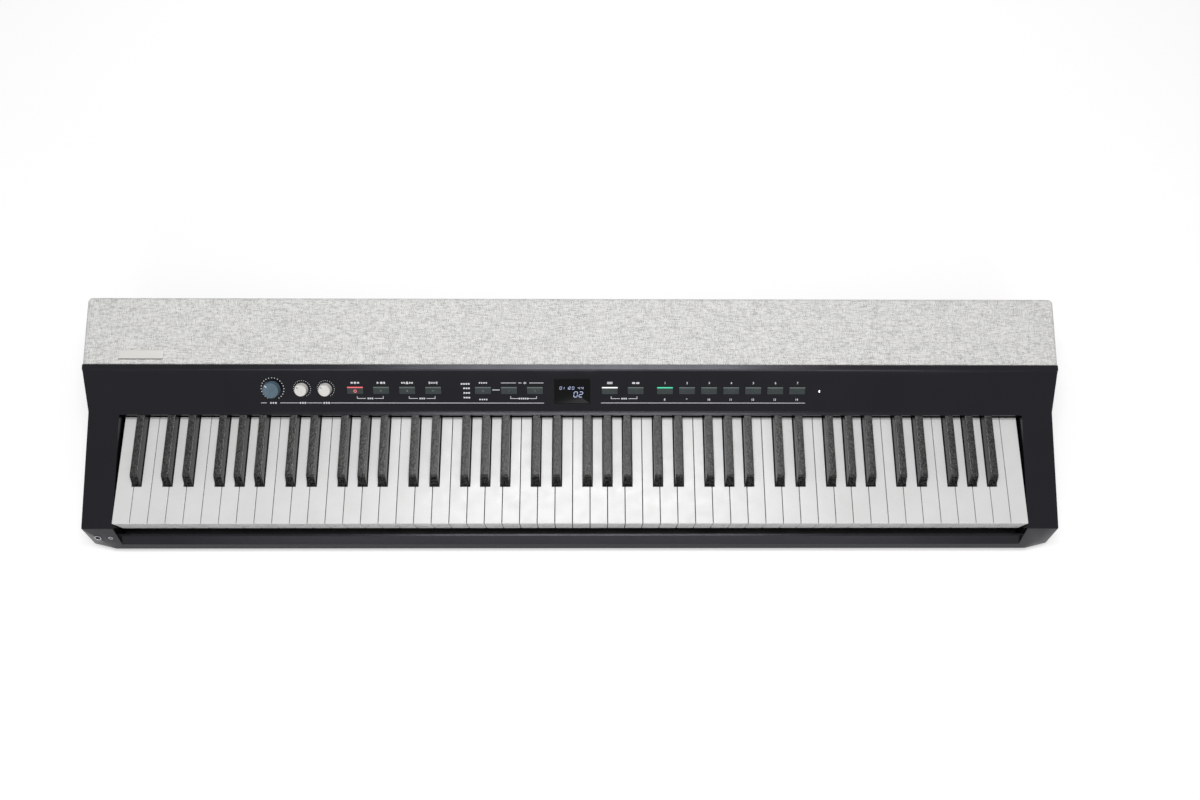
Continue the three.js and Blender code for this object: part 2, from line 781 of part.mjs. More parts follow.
// Cloth lid: the moulded frame and the cloth stretched over it share one outline
function lidBlock(depth, open) {
  const rearZ = lidTopAt(lidRearY);
  const low = open ? ledgeAt(lidFrontY) - lidSkirt : 0;
  const side = [
    [lidFrontY, open ? low : ledgeAt(lidFrontY) + fitGap],
    [lidRearY, open ? low : ledgeAt(lidRearY) + fitGap],
    [lidRearY, rearZ, lidEdgeRadius],
    [lidFrontY, lidFrontZ, clothThickness],
  ];
  const moulded = inset(side, depth).map(([y, z, radius], index) => {
    const bottomCorner = index < 2;
    return [y, bottomCorner ? side[index][1] : z, radius];
  });
  const half = lidHalfWidth;
  const plan = inset([
    [-half, lidFrontY], [half, lidFrontY],
    [half, lidRearY, lidCornerRadius], [-half, lidRearY, lidCornerRadius],
  ], depth);
  const tall = lidRearZ + cutOverrun;
  return barX(filleted(moulded), -half, half)
    .intersect(plate(filleted(plan), low - cutOverrun, tall));
}

add(body, 'grille_cloth', lidBlock(0, false).subtract(lidBlock(clothThickness, true)), speakerCloth);

function grilleFrame() {
  const middle = (lidFrontY + lidRearY) / 2;
  const slots = [];
  for (const side of [-1, 1]) {
    for (let column = 0; column < grilleColumnCount; column += 1) {
      for (let row = 0; row < grilleRowCount; row += 1) {
        const x = side * speakerX + (column - (grilleColumnCount - 1) / 2) * grilleSlotPitch;
        const y = middle + (row - (grilleRowCount - 1) / 2) * grilleRowPitch;
        slots.push(block(x - grilleSlotLength / 2, x + grilleSlotLength / 2,
          y - grilleSlotWidth / 2, y + grilleSlotWidth / 2, ledgeAt(y), lidTopAt(y) + cutOverrun));
      }
    }
  }
  return lidBlock(frameInset, false)
    .subtract(lidBlock(frameInset + lidFrameWall, true))
    .subtract(union(slots));
}
add(body, 'grille_frame', grilleFrame(), innerPlastic);

// Speakers: flange on the shelf, basket and magnet below, cone and dust cap above
function speaker() {
  const flange = speakerRadius + speakerFlangeWidth;
  const seat = fitGap;
  const top = seat + speakerFlangeThickness;
  const coneEdge = speakerRadius - speakerFlangeWidth;
  const magnetBottom = seat - speakerDepth;
  const basketTop = magnetBottom + magnetThickness;
  return turned([
    [0, magnetBottom], [magnetRadius, magnetBottom], [magnetRadius, basketTop],
    [magnetRadius + basketThickness, basketTop], [speakerRadius - basketThickness, seat - speakerFlangeWidth],
    [speakerRadius - basketThickness, seat], [flange, seat], [flange, top],
    [speakerRadius, top], [coneEdge, top - basketThickness], [dustCapRadius, top - coneDepth],
    [dustCapRadius / 2, top - coneDepth + dustCapRise], [0, top - coneDepth + dustCapRise],
  ], speakerFacets);
}
[['speaker_left', -1], ['speaker_right', 1]].forEach(([name, side]) => {
  const mesh = add(body, name, speaker(), paper);
  mesh.applyMatrix4(speakerMatrix(side));
});

// Keys. Seven white keys share twelve tails: three whites over five tails, four over seven.
const octaveNames = ['c', 'd', 'e', 'f', 'g', 'a', 'b'];
const slotHalf = blackBaseWidth / 2 + blackSideGap;

// Places of the black keys in an octave, from the left edge of its C: five tails share the width
// of C to E and seven that of F to B, and a black key is every second one
const lowTail = 3 * whitePitch / 5;
const highTail = 4 * whitePitch / 7;
const blackPlaces = {
  c: lowTail * 3 / 2,
  d: lowTail * 7 / 2,
  f: 3 * whitePitch + highTail * 3 / 2,
  g: 3 * whitePitch + highTail * 7 / 2,
  a: 3 * whitePitch + highTail * 11 / 2,
};

// White key number 0 is the lowest A
function keyPlace(index) {
  const note = octaveNames[(index + octaveNames.indexOf('a')) % octaveNames.length];
  const octaveLeft = keyboardLeft + (index - octaveNames.indexOf(note)) * whitePitch;
  return { note, octaveLeft, left: keyboardLeft + index * whitePitch };
}

function blackRightOf(index) {
  const { note, octaveLeft } = keyPlace(index);
  if (index === whiteKeyCount - 1 || !(note in blackPlaces)) {
    return null;
  }
  return octaveLeft + blackPlaces[note];
}

// Left and right edges of a white key, at its head and at its tail
function whiteSpan(index) {
  const { left } = keyPlace(index);
  const x0 = left + whiteGap / 2;
  const x1 = left + whitePitch - whiteGap / 2;
  const blackLeft = index > 0 ? blackRightOf(index - 1) : null;
  const blackRight = blackRightOf(index);
  return {
    x0,
    x1,
    tail0: blackLeft === null ? x0 : blackLeft + slotHalf,
    tail1: blackRight === null ? x1 : blackRight - slotHalf,
  };
}

// Plan outline of one key, or of several joined by the bar across their tails
function keyOutline(spans, front, step, rear) {
  const points = [];
  const last = spans.length - 1;
  spans.forEach(({ x0, x1, tail0, tail1 }, index) => {
    if (index > 0) {
      points.push([tail0, combBarFront]);
    }
    if (tail0 !== x0) {
      points.push([tail0, step], [x0, step]);
    }
    points.push([x0, front], [x1, front]);
    if (tail1 !== x1) {
      points.push([x1, step], [tail1, step]);
    }
    if (index < last) {
      points.push([tail1, combBarFront]);
    }
  });
  for (let index = last; index >= 0; index -= 1) {
    const { tail0, tail1 } = spans[index];
    if (index < last) {
      points.push([tail1, combBarRear]);
    }
    points.push([tail1, rear], [tail0, rear]);
    if (index > 0) {
      points.push([tail0, combBarRear]);
    }
  }
  return filleted(points);
}

// An arc about the key pivot, in the side view
function pivotArc(radius, from, to, steps) {
  const points = [];
  for (let step = 0; step <= steps; step += 1) {
    const angle = from + (to - from) * step / steps;
    points.push([pivotY + Math.cos(angle) * radius, -pivotDrop + Math.sin(angle) * radius]);
  }
  return points;
}

// The round knuckle that ends every key
const knuckle = pivotArc(knuckleRadius, -Math.PI / 2, Math.PI / 2, knuckleSteps);
const tailSlopeY = pivotY - 2 * knuckleRadius;

const whiteSide = filleted([
  [0, -whiteFrontHeight], [whiteLipThickness, -whiteFrontHeight],
  [whiteLipThickness, -whiteSideHeight], [whiteTopLength, -whiteSideHeight],
  [whiteTopLength, -whiteTailUnder], [tailSlopeY, -whiteTailUnder], ...knuckle,
  [combBarRear, -whiteTailTop], [whiteTopLength, -whiteTailTop],
  [whiteTopLength, 0], [whiteEdgeBevel, 0], [0, -whiteEdgeBevel],
]);

// White keys between two key numbers, each hollow from below
function whiteKeys(first, last) {
  const spans = [];
  for (let index = first; index <= last; index += 1) {
    spans.push(whiteSpan(index));
  }
  const outline = keyOutline(spans, -cutOverrun, whiteHeadLength, pivotY + knuckleRadius + cutOverrun);
  const form = plate(outline, -whiteFrontHeight - cutOverrun, cutOverrun)
    .intersect(barX(whiteSide, keyPlace(first).left, keyPlace(last).left + whitePitch));
  const hollows = spans.map(({ x0, x1, tail0, tail1 }) => plate(keyOutline(
    [{ x0: x0 + keyWall, x1: x1 - keyWall, tail0: tail0 + keyWall, tail1: tail1 - keyWall }],
    whiteLipThickness, whiteHeadLength - keyWall, whiteTopLength - keyWall,
  ), -whiteSideHeight - cutOverrun, -keyWall));
  return form.subtract(union(hollows));
}

const blackSide = filleted([
  [blackFrontY, -blackTailUnder], [combBarRear, -blackTailUnder],
  [tailSlopeY, -pivotDrop - knuckleRadius], ...knuckle, [tailSlopeY, -blackTailTop],
  [blackRearY, -blackTailTop], [blackRearY, blackRise], [blackFrontY + blackSlope, blackRise],
  [blackFrontY, -blackTopBevel],
]);

const blackInside = filleted([
  [blackFrontY + keyWall, -blackTailUnder - cutOverrun],
  [blackRearY - keyWall, -blackTailUnder - cutOverrun],
  [blackRearY - keyWall, blackRise / 2], [blackFrontY + blackSlope, blackRise / 2],
  [blackFrontY + keyWall, -2 * keyWall],
]);

// Front view of the tapered and bevelled tops of black keys, run on past their edges
function blackCrowns(centres) {
  const half = blackBaseWidth / 2;
  const top = blackTopWidth / 2;
  const shoulder = blackRise - blackTopBevel;
  const spread = cutOverrun * (half - top) / shoulder;
  const low = -blackTailUnder - cutOverrun;
  const points = [
    [centres[0] - blackBaseWidth, low], [centres[centres.length - 1] + blackBaseWidth, low],
  ];
  [...centres].reverse().forEach((centre) => {
    const ridge = top - blackTopBevel - cutOverrun;
    points.push(
      [centre + half + spread, -cutOverrun], [centre + top, shoulder],
      [centre + ridge, blackRise + cutOverrun], [centre - ridge, blackRise + cutOverrun],
      [centre - top, shoulder], [centre - half - spread, -cutOverrun],
    );
  });
  return filleted(points);
}

// Black keys between two white key numbers, each hollow from below
function blackKeys(first, last) {
  const centres = [];
  for (let index = first; index <= last; index += 1) {
    const centre = blackRightOf(index);
    if (centre !== null) {
      centres.push(centre);
    }
  }
  const half = blackBaseWidth / 2;
  const rear = pivotY + knuckleRadius + cutOverrun;
  const spans = centres.map((centre) => ({
    x0: centre - half, x1: centre + half, tail0: centre - half, tail1: centre + half,
  }));
  const inner = half - keyWall;
  const x0 = spans[0].x0 - cutOverrun;
  const x1 = spans[spans.length - 1].x1 + cutOverrun;
  return plate(keyOutline(spans, blackFrontY - cutOverrun, 0, rear),
    -blackTailUnder - cutOverrun, blackRise + cutOverrun)
    .intersect(barX(blackSide, x0, x1))
    .intersect(barY(blackCrowns(centres), blackFrontY - cutOverrun, rear))
    .subtract(union(centres.map((centre) => barX(blackInside, centre - inner, centre + inner))));
}

// Octave sets from the bass. The first also has the two keys below it, the last the C above it,
// and the keys of the middle octave are single
const octaveSize = octaveNames.length;
const keysBelow = 2;
for (let octave = 1; octave <= octaveCount; octave += 1) {
  const first = octave === 1 ? 0 : keysBelow + (octave - 1) * octaveSize;
  const last = octave === octaveCount ? whiteKeyCount - 1 : keysBelow + octave * octaveSize - 1;
  if (octave === singleKeyOctave) {
    for (let index = first; index <= last; index += 1) {
      const { note } = keyPlace(index);
      add(body, `white_key_${note}${octave}`, whiteKeys(index, index), whiteKeyPlastic);
      if (blackRightOf(index) !== null) {
        add(body, `black_key_${note}_sharp${octave}`, blackKeys(index, index), blackKeyPlastic);
      }
    }
  } else {
    add(body, `white_keys_octave_${octave}`, whiteKeys(first, last), whiteKeyPlastic);
    add(body, `black_keys_octave_${octave}`, blackKeys(first, last), blackKeyPlastic);
  }
}

// Key chassis: floor, hinge rail with its half-round cradle, and a guide inside every key
function keyChassis() {
  const half = keyboardWidth / 2 - chassisEndGap;
  const floorLow = chassisFloorZ - chassisFloorThickness;
  const cradleRadius = knuckleRadius + cradleGap;
  const cradle = pivotArc(cradleRadius, Math.PI / 3, -Math.PI / 2, cradleSteps);
  const [, crownZ] = cradle[0];
  const [, seatZ] = cradle[cradleSteps];
  const lipY = pivotY - hingeRailWall;
  const section = filleted([
    [chassisFrontY, floorLow], [hingeRailRearY, floorLow], [hingeRailRearY, crownZ], ...cradle,
    [lipY, seatZ], [lipY, chassisFloorZ], [chassisFrontY, chassisFloorZ],
  ]);
  let chassis = barX(section, -half, half);
  const railInside = block(-half - cutOverrun, half + cutOverrun, lipY + hingeRailWall,
    hingeRailRearY - hingeRailWall, floorLow - cutOverrun, -pivotDrop - cradleRadius - hingeRailWall);
  chassis = chassis.subtract(railInside);
  const guides = [];
  const blackGuideY = blackFrontY + blackGuideSetback;
  const root = chassisFloorZ - chassisFloorThickness / 2;
  const guide = (x, width, y, top) => {
    const reach = width / 2 - keyWall - guideSideGap;
    guides.push(block(x - reach, x + reach, y, y + guideDepth, root, top));
  };
  for (let index = 0; index < whiteKeyCount; index += 1) {
    guide(keyPlace(index).left + whitePitch / 2, whitePitch - whiteGap, whiteGuideY, -whiteGuideDrop);
    if (blackRightOf(index) !== null) {
      guide(blackRightOf(index), blackBaseWidth, blackGuideY, -blackGuideDrop);
    }
  }
  const ribY = (blackGuideY + pivotY) / 2;
  guides.push(block(guideDepth - half, half - guideDepth, ribY, ribY + ribThickness, root,
    chassisFloorZ + chassisRibHeight));
  return union([chassis, ...guides]);
}
add(body, 'key_chassis', keyChassis(), innerPlastic);

// Panel buttons: cap, retaining flange under the panel, and stem to the switch
buttons.forEach(([name, x]) => {
  const flangeTop = -caseWall - fitGap;
  const flangeBottom = flangeTop - buttonFlangeThickness;
  const halfWidth = buttonWidth / 2;
  const bevel = buttonEdgeBevel;
  const capFoot = flangeTop - buttonFlangeThickness / 2;
  const cap = filleted([
    [-halfWidth, capFoot], [halfWidth, capFoot],
    [halfWidth, buttonRise - bevel], [halfWidth - bevel, buttonRise],
    [-halfWidth + bevel, buttonRise], [-halfWidth, buttonRise - bevel],
  ]);
  const shape = barY(cap, -buttonHeight / 2, buttonHeight / 2)
    .add(slab(0, 0, buttonWidth + 2 * buttonFlangeWidth, buttonHeight + 2 * buttonFlangeWidth,
      flangeBottom, flangeTop))
    .add(slab(0, 0, buttonStemWidth, buttonStemWidth, flangeBottom - buttonStemLength,
      flangeBottom + buttonFlangeThickness / 2));
  const mesh = add(panel, `button_${name}`, shape, buttonPlastic);
  mesh.position.set(x, buttonRowHeight, 0);
});

// Knobs: draughted cap with a nub and a pointer groove towards the bass side, hollow under it,
// and shaft
const pointerTurn = new THREE.Matrix4().makeRotationZ(2 * Math.PI * knobPointerTurnShare);
knobs.forEach(([name, x, radius, height, material]) => {
  const top = knobPanelGap + height;
  let knob = turned([
    [0, knobPanelGap], [radius, knobPanelGap], [radius - knobDraft, top - knobTopBevel],
    [radius - knobDraft - knobTopBevel, top], [0, top],
  ], knobFacets);
  const nub = drum(knobNubRadius, knobPanelGap, top - knobTopBevel);
  knob = knob.add(moved(nub, at(0, radius + knobNubReach - knobNubRadius, 0).premultiply(pointerTurn)));
  knob = knob.subtract(turned([
    [knobHubRadius, knobPanelGap - cutOverrun], [radius - 2 * knobTopBevel, knobPanelGap - cutOverrun],
    [radius - 2 * knobTopBevel - knobDraft, knobHollow], [knobHubRadius, knobHollow],
    [knobHubRadius, knobPanelGap - cutOverrun],
  ], knobFacets));
  const grooveLength = radius / 2;
  const groove = block(-knobPointerWidth / 2, knobPointerWidth / 2, radius - grooveLength,
    radius + cutOverrun, top - knobPointerDepth, top + cutOverrun);
  knob = knob.subtract(moved(groove, pointerTurn));
  const shaftEnd = -panelBoardDepth + potHeight + fitGap;
  knob = knob.add(drum(shaftRadius, shaftEnd, knobHollow));
  const mesh = add(panel, `knob_${name}`, knob, material);
  mesh.position.set(x, knobRowHeight, 0);
});

// Display window in its recess, and the display module on the board below it
add(panel, 'display_window', slab(displayX, displayRowHeight, displayWidth - 2 * fitGap,
  displayHeight - 2 * fitGap, -displayWindowThickness, 0), windowPlastic);
const moduleWidth = displayWidth - 2 * displayLedge - 2 * displayModuleMargin;
const moduleHeight = displayHeight - 2 * displayLedge - 2 * displayModuleMargin;
const displayModule = slab(displayX, displayRowHeight, moduleWidth, moduleHeight,
  -panelBoardDepth + fitGap, -displayWindowThickness - 2 * fitGap)
  .subtract(slab(displayX, displayRowHeight, moduleWidth - 4 * displayModuleMargin,
    moduleHeight - 4 * displayModuleMargin, -displayWindowThickness - 4 * fitGap, cutOverrun));
add(panel, 'display_module', displayModule, windowPlastic);

// Panel board with a switch under every button and a control under every knob
function panelBoard() {
  const board = slab(panelBoardX, panelBoardFoot + panelBoardHeight / 2, panelBoardWidth, panelBoardHeight,
    -panelBoardDepth - boardThickness, -panelBoardDepth);
  const stemEnd = -caseWall - fitGap - buttonFlangeThickness - buttonStemLength;
  const switchTop = stemEnd - buttonTravel - fitGap;
  const parts = buttons.map(([, x]) => slab(x, buttonRowHeight, switchWidth, switchWidth,
    -panelBoardDepth - boardThickness / 2, switchTop));
  knobs.forEach(([, x]) => {
    const pot = drum(potRadius, -panelBoardDepth - boardThickness / 2, -panelBoardDepth + potHeight);
    parts.push(moved(pot, at(x, knobRowHeight, 0)));
  });
  return union([board, ...parts]);
}
add(panel, 'panel_board', panelBoard(), circuitBoard);

// Main board on its posts, with its processor, memory and amplifier packages
function mainBoard() {
  const top = mainBoardZ + boardThickness;
  const centreY = mainBoardFrontY + mainBoardDepth / 2;
  const board = slab(mainBoardX, centreY, mainBoardWidth, mainBoardDepth, mainBoardZ, top);
  const parts = chipPlaceShares.map((share) => slab(mainBoardX + share * mainBoardWidth, centreY,
    chipWidth, chipWidth, top - boardThickness / 2, top + chipHeight));
  return union([board, ...parts]);
}
add(body, 'main_board', mainBoard(), circuitBoard);

// Headphone sockets: two threaded bushes on one small carrier behind the cheek's front face
function headphoneSockets() {
  const front = -caseWall - socketSetback;
  const back = front - socketBodyDepth;
  const bored = (radius) => drum(radius, bushProud - socketBoreDepth, bushProud + cutOverrun);
  const bush = (radius) => drum(radius, front - cutOverrun, bushProud);
  return union([
    slab(phoneSocketX, 0, socketBodyWidth, socketBodyWidth, back, front),
    slab(miniSocketX, 0, miniBodyWidth, miniBodyWidth, back, front),
    block(phoneSocketX - socketBodyWidth / 2, miniSocketX + miniBodyWidth / 2,
      -socketBoardHeight / 2, socketBoardHeight / 2, back - boardThickness, back + boardThickness / 2),
    moved(bush(phoneBushRadius), at(phoneSocketX, 0, 0)),
    moved(bush(miniBushRadius), at(miniSocketX, 0, 0)),
  ])
    .subtract(moved(bored(phoneBoreRadius), at(phoneSocketX, 0, 0)))
    .subtract(moved(bored(miniBoreRadius), at(miniSocketX, 0, 0)));
}
add(socketFace, 'headphone_sockets', headphoneSockets(), nickel);

// Rear socket plate: power inlet, computer port and four jack sockets
function rearSockets() {
  const back = caseRearY;
  const inside = back - rearPlateThickness;
  const lapFront = back - caseWall - fitGap;
  const bodyEnd = back - rearBodyDepth - boardThickness;
  const slots = [...Array(rearSocketCount + 2).keys()];
  const outward = at(0, back, rearPlateZ).multiply(new THREE.Matrix4().makeRotationX(Math.PI / 2));
  const place = (slot) => rearPlateX + (slot - (slots.length - 1) / 2) * rearSocketPitch;
  const across = (x, width, height, y0, y1) => block(x - width / 2, x + width / 2, y0, y1,
    rearPlateZ - height / 2, rearPlateZ + height / 2);
  const round = (slot, radius, from, to) => moved(drum(radius, from, to),
    at(place(slot), 0, 0).multiply(outward));
  const plateWidth = rearPlateWidth - 2 * fitGap;
  const plateHeight = rearPlateHeight - 2 * fitGap;
  const [inlet, port, ...jacks] = slots;
  let unit = union([
    across(rearPlateX, plateWidth, plateHeight, lapFront - rearPlateThickness, back),
    across(rearPlateX, plateWidth + 2 * rearPlateLap, plateHeight + 2 * rearPlateLap,
      lapFront - rearPlateThickness, lapFront),
    ...slots.map((slot) => across(place(slot), socketBodyWidth, socketBodyWidth, bodyEnd, inside)),
  ]);
  unit = unit.subtract(round(inlet, powerInletRadius, -cutOverrun, powerInletDepth));
  unit = unit.add(round(inlet, powerPinRadius, fitGap, powerInletDepth + cutOverrun));
  unit = unit.subtract(across(place(port), usbWidth, usbHeight, back - powerInletDepth, back + cutOverrun));
  unit = unit.add(across(place(port), usbTongueWidth, usbTongueHeight,
    back - powerInletDepth - cutOverrun, back - cutOverrun));
  jacks.forEach((slot) => {
    unit = unit.subtract(round(slot, phoneBoreRadius, -cutOverrun, socketBoreDepth));
  });
  return unit;
}
add(body, 'rear_sockets', rearSockets(), innerPlastic);

// Stand the piano on its feet, centred on the floor
body.position.set(0, -(frontBottomY + lidRearY) / 2, footHeight - bottomZ);

export default piano;
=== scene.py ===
import math

import bmesh
import bpy
from mathutils import Matrix, Vector


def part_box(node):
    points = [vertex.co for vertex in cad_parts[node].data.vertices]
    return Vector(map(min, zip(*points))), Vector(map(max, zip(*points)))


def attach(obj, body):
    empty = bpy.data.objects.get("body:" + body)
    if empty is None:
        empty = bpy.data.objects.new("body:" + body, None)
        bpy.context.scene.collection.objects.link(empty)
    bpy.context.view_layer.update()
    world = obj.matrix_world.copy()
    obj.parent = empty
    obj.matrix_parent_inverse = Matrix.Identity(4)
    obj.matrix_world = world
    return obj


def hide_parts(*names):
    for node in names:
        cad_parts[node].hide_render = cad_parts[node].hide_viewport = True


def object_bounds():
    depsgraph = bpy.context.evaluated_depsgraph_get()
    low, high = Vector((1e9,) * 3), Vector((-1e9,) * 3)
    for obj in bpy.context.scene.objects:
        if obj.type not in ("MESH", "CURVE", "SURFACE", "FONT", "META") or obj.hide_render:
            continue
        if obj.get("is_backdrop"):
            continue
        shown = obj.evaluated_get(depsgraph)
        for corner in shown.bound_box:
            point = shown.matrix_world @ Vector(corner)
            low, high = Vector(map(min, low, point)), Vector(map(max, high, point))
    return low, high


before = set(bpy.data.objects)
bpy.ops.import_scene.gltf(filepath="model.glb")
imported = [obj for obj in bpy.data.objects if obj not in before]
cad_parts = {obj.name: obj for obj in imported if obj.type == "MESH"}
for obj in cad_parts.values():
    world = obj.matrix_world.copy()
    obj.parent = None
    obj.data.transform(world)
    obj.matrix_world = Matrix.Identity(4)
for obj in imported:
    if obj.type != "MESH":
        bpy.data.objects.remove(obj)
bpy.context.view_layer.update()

# Top case. One large moulding in charcoal plastic: both cheeks, the sloped control panel, the lip
# over the keys and the front rail. The tool is spark-eroded, so the skin has a fine even grain,
# and every edge that a hand meets is rounded.
case_edge = 0.0008
case_grain = 1500
case_grain_depth = 0.00003


def paint(red, green, blue):
    shade = [c / 255 / 12.92 if c < 11 else ((c / 255 + 0.055) / 1.055) ** 2.4 for c in (red, green, blue)]
    return (*shade, 1.0)


def finish(name, colour, roughness, specular=0.5, metallic=0.0):
    material = bpy.data.materials.new(name)
    material.use_nodes = True
    surface = material.node_tree.nodes["Principled BSDF"]
    surface.inputs["Base Color"].default_value = colour
    surface.inputs["Roughness"].default_value = roughness
    surface.inputs["Specular IOR Level"].default_value = specular
    surface.inputs["Metallic"].default_value = metallic
    return material


def noise(material, scale, detail=3.0, stretch=(1, 1, 1)):
    """Fractal noise over the piece, scale in lumps per metre"""
    nodes, links = material.node_tree.nodes, material.node_tree.links
    place = nodes.new("ShaderNodeTexCoord")
    size = nodes.new("ShaderNodeMapping")
    size.inputs["Scale"].default_value = [scale * s for s in stretch]
    cloud = nodes.new("ShaderNodeTexNoise")
    cloud.inputs["Scale"].default_value = 1.0
    cloud.inputs["Detail"].default_value = detail
    links.new(place.outputs["Object"], size.inputs["Vector"])
    links.new(size.outputs["Vector"], cloud.inputs["Vector"])
    return cloud.outputs["Fac"]


def relief(material, height, depth, strength):
    """Raises and sinks the finish by a height, at most by a depth in metres"""
    nodes, links = material.node_tree.nodes, material.node_tree.links
    bump = nodes.new("ShaderNodeBump")
    bump.inputs["Strength"].default_value = strength
    bump.inputs["Distance"].default_value = depth
    links.new(height, bump.inputs["Height"])
    links.new(bump.outputs["Normal"], nodes["Principled BSDF"].inputs["Normal"])
    return bump


def moulded_grain(material, scale, depth, strength=0.5):
    """The fine relief that the tool leaves on a moulding"""
    relief(material, noise(material, scale, detail=2.0), depth, strength)


def shaded(material, factor, low, high, start=0.0, end=1.0):
    """A value or colour that goes from low to high while a factor goes from start to end"""
    ramp = material.node_tree.nodes.new("ShaderNodeValToRGB")
    ramp.color_ramp.elements[0].position = start
    ramp.color_ramp.elements[1].position = end
    for element, value in zip(ramp.color_ramp.elements, (low, high)):
        element.color = value if isinstance(value, tuple) else (value, value, value, 1)
    material.node_tree.links.new(factor, ramp.inputs["Fac"])
    return ramp.outputs["Color"]


def uneven(material, socket, scale, low, high, stretch=(1, 1, 1)):
    """Lets a value or colour of the finish wander between two limits over the piece"""
    wander = shaded(material, noise(material, scale, 4.0, stretch), low, high, start=0.32, end=0.68)
    material.node_tree.links.new(wander, material.node_tree.nodes["Principled BSDF"].inputs[socket])


def placed(name, data):
    """An object of a mesh, curve, lamp or camera in the scene"""
    piece = bpy.data.objects.new(name, data)
    bpy.context.scene.collection.objects.link(piece)
    return piece


def moulding(node, name, edge, steps=2, sharp=38, strips=0, shaped=None):
    """A moulding where a CAD node is, with its facets joined, reshaped where that is asked for,
    cut across into strips if it is long, which keeps its large faces simple, and its edges rounded"""
    form = bmesh.new()
    form.from_mesh(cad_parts[node].data)
    bmesh.ops.remove_doubles(form, verts=form.verts, dist=2e-6)
    bmesh.ops.dissolve_limit(form, angle_limit=math.radians(0.6), verts=form.verts, edges=form.edges)
    if shaped:
        shaped(form)
    low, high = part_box(node)
    for strip in range(1, strips):
        cut = Vector((low.x + (high.x - low.x) * (strip + 0.137) / strips, 0, 0))
        parts = form.verts[:] + form.edges[:] + form.faces[:]
        bmesh.ops.bisect_plane(form, geom=parts, plane_co=cut, plane_no=(1, 0, 0), dist=1e-6)
    for face in form.faces:
        face.smooth = True
    mesh = bpy.data.meshes.new(name)
    form.to_mesh(mesh)
    form.free()
    piece = placed(name, mesh)
    rounding = piece.modifiers.new("rounded edges", "BEVEL")
    rounding.width = edge
    rounding.segments = steps
    rounding.limit_method = "ANGLE"
    rounding.angle_limit = math.radians(sharp)
    piece.modifiers.new("triangles", "TRIANGULATE").ngon_method = "BEAUTY"
    shading = piece.modifiers.new("shading", "WEIGHTED_NORMAL")
    shading.keep_sharp = False
    return piece


def dress(piece, body, slot, *materials, stands_for=()):
    """Gives a piece its finishes and body, and says which CAD nodes it stands for"""
    for material in materials:
        piece.data.materials.append(material)
    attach(piece, body)
    if stands_for:
        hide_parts(*stands_for)


shelf_back = Vector((0, 0.06905, 0.1157))
shelf_slope = 0.1075
shelf_depth, shelf_foot = 0.006, 0.0084
panel_crest_y, panel_crest_z = 0.06413, 0.11449
panel_pitch = 0.588
skin_depth = 0.0004
foot_play = 1e-5


def widened_shelf(form):
    """The narrow shelf between cloth and panel reaches forward over the panel in a low rounded bead"""
    for depth in (shelf_depth, shelf_foot):
        parts = form.verts[:] + form.edges[:] + form.faces[:]
        place = Vector((0, shelf_back.y - depth, 0))
        bmesh.ops.bisect_plane(form, geom=parts, plane_co=place, plane_no=(0, 1, 0), dist=1e-6)

    def shelf(depth):
        return shelf_back.z - depth * shelf_slope

    def panel(depth):
        return panel_crest_z - (panel_crest_y - shelf_back.y + depth) * math.tan(panel_pitch)

    for vertex in form.verts:
        depth = shelf_back.y - vertex.co.y
        from_skin = abs(vertex.co.z - min(shelf(depth), panel(depth)))
        if 0 < depth < shelf_foot - foot_play and from_skin < skin_depth:
            fall = max(0.0, depth - shelf_depth) / (shelf_foot - shelf_depth)
            vertex.co.z = (1 - fall) * shelf(min(depth, shelf_depth)) + fall * panel(shelf_foot)


case_plastic = finish("charcoal_case_plastic", paint(14, 14, 18), roughness=0.24, specular=0.3)
case_plastic.node_tree.nodes["Principled BSDF"].inputs["Specular Tint"].default_value = (0.88, 0.88, 1.0, 1.0)
uneven(case_plastic, "Base Color", scale=14, low=paint(9, 9, 12), high=paint(13, 13, 17))
uneven(case_plastic, "Roughness", scale=22, low=0.21, high=0.27)
moulded_grain(case_plastic, case_grain, case_grain_depth)

top_case = moulding("top_case", "top_case_moulding", case_edge, steps=3, sharp=20, strips=64,
                    shaped=widened_shelf)
dress(top_case, "case", "case_plastic", case_plastic, stands_for=["top_case"])

# Bottom case. A shallow tray in black plastic that closes the piano from below, held by eight
# screws in sunk wells. It is seen only from underneath.
tray_edge = 0.0005

inner_plastic = finish("black_inner_plastic", paint(17, 17, 18), roughness=0.55, specular=0.3)
uneven(inner_plastic, "Base Color", scale=20, low=paint(14, 14, 15), high=paint(21, 21, 22))
uneven(inner_plastic, "Roughness", scale=30, low=0.48, high=0.62)
moulded_grain(inner_plastic, scale=900, depth=0.00004)

dress(moulding("bottom_case", "bottom_case_moulding", tray_edge, strips=32), "case", "inner_plastic",
      inner_plastic, stands_for=["bottom_case"])

# Case screws. Black pan-head tapping screws with a cross recess, one at the bottom of each well.
# They are turned and cold-headed in steel and blackened.
screw_head_radius = 0.0034
screw_head_rise = 0.0013
screw_recess_half = 0.0021
screw_recess_width = 0.0009
screw_left, screw_pitch, screws_in_row = -0.618, 0.412, 4
screw_columns = [screw_left + screw_pitch * column for column in range(screws_in_row)]
screw_rows = [-0.09315, 0.09885]
screw_seat = 0.0076


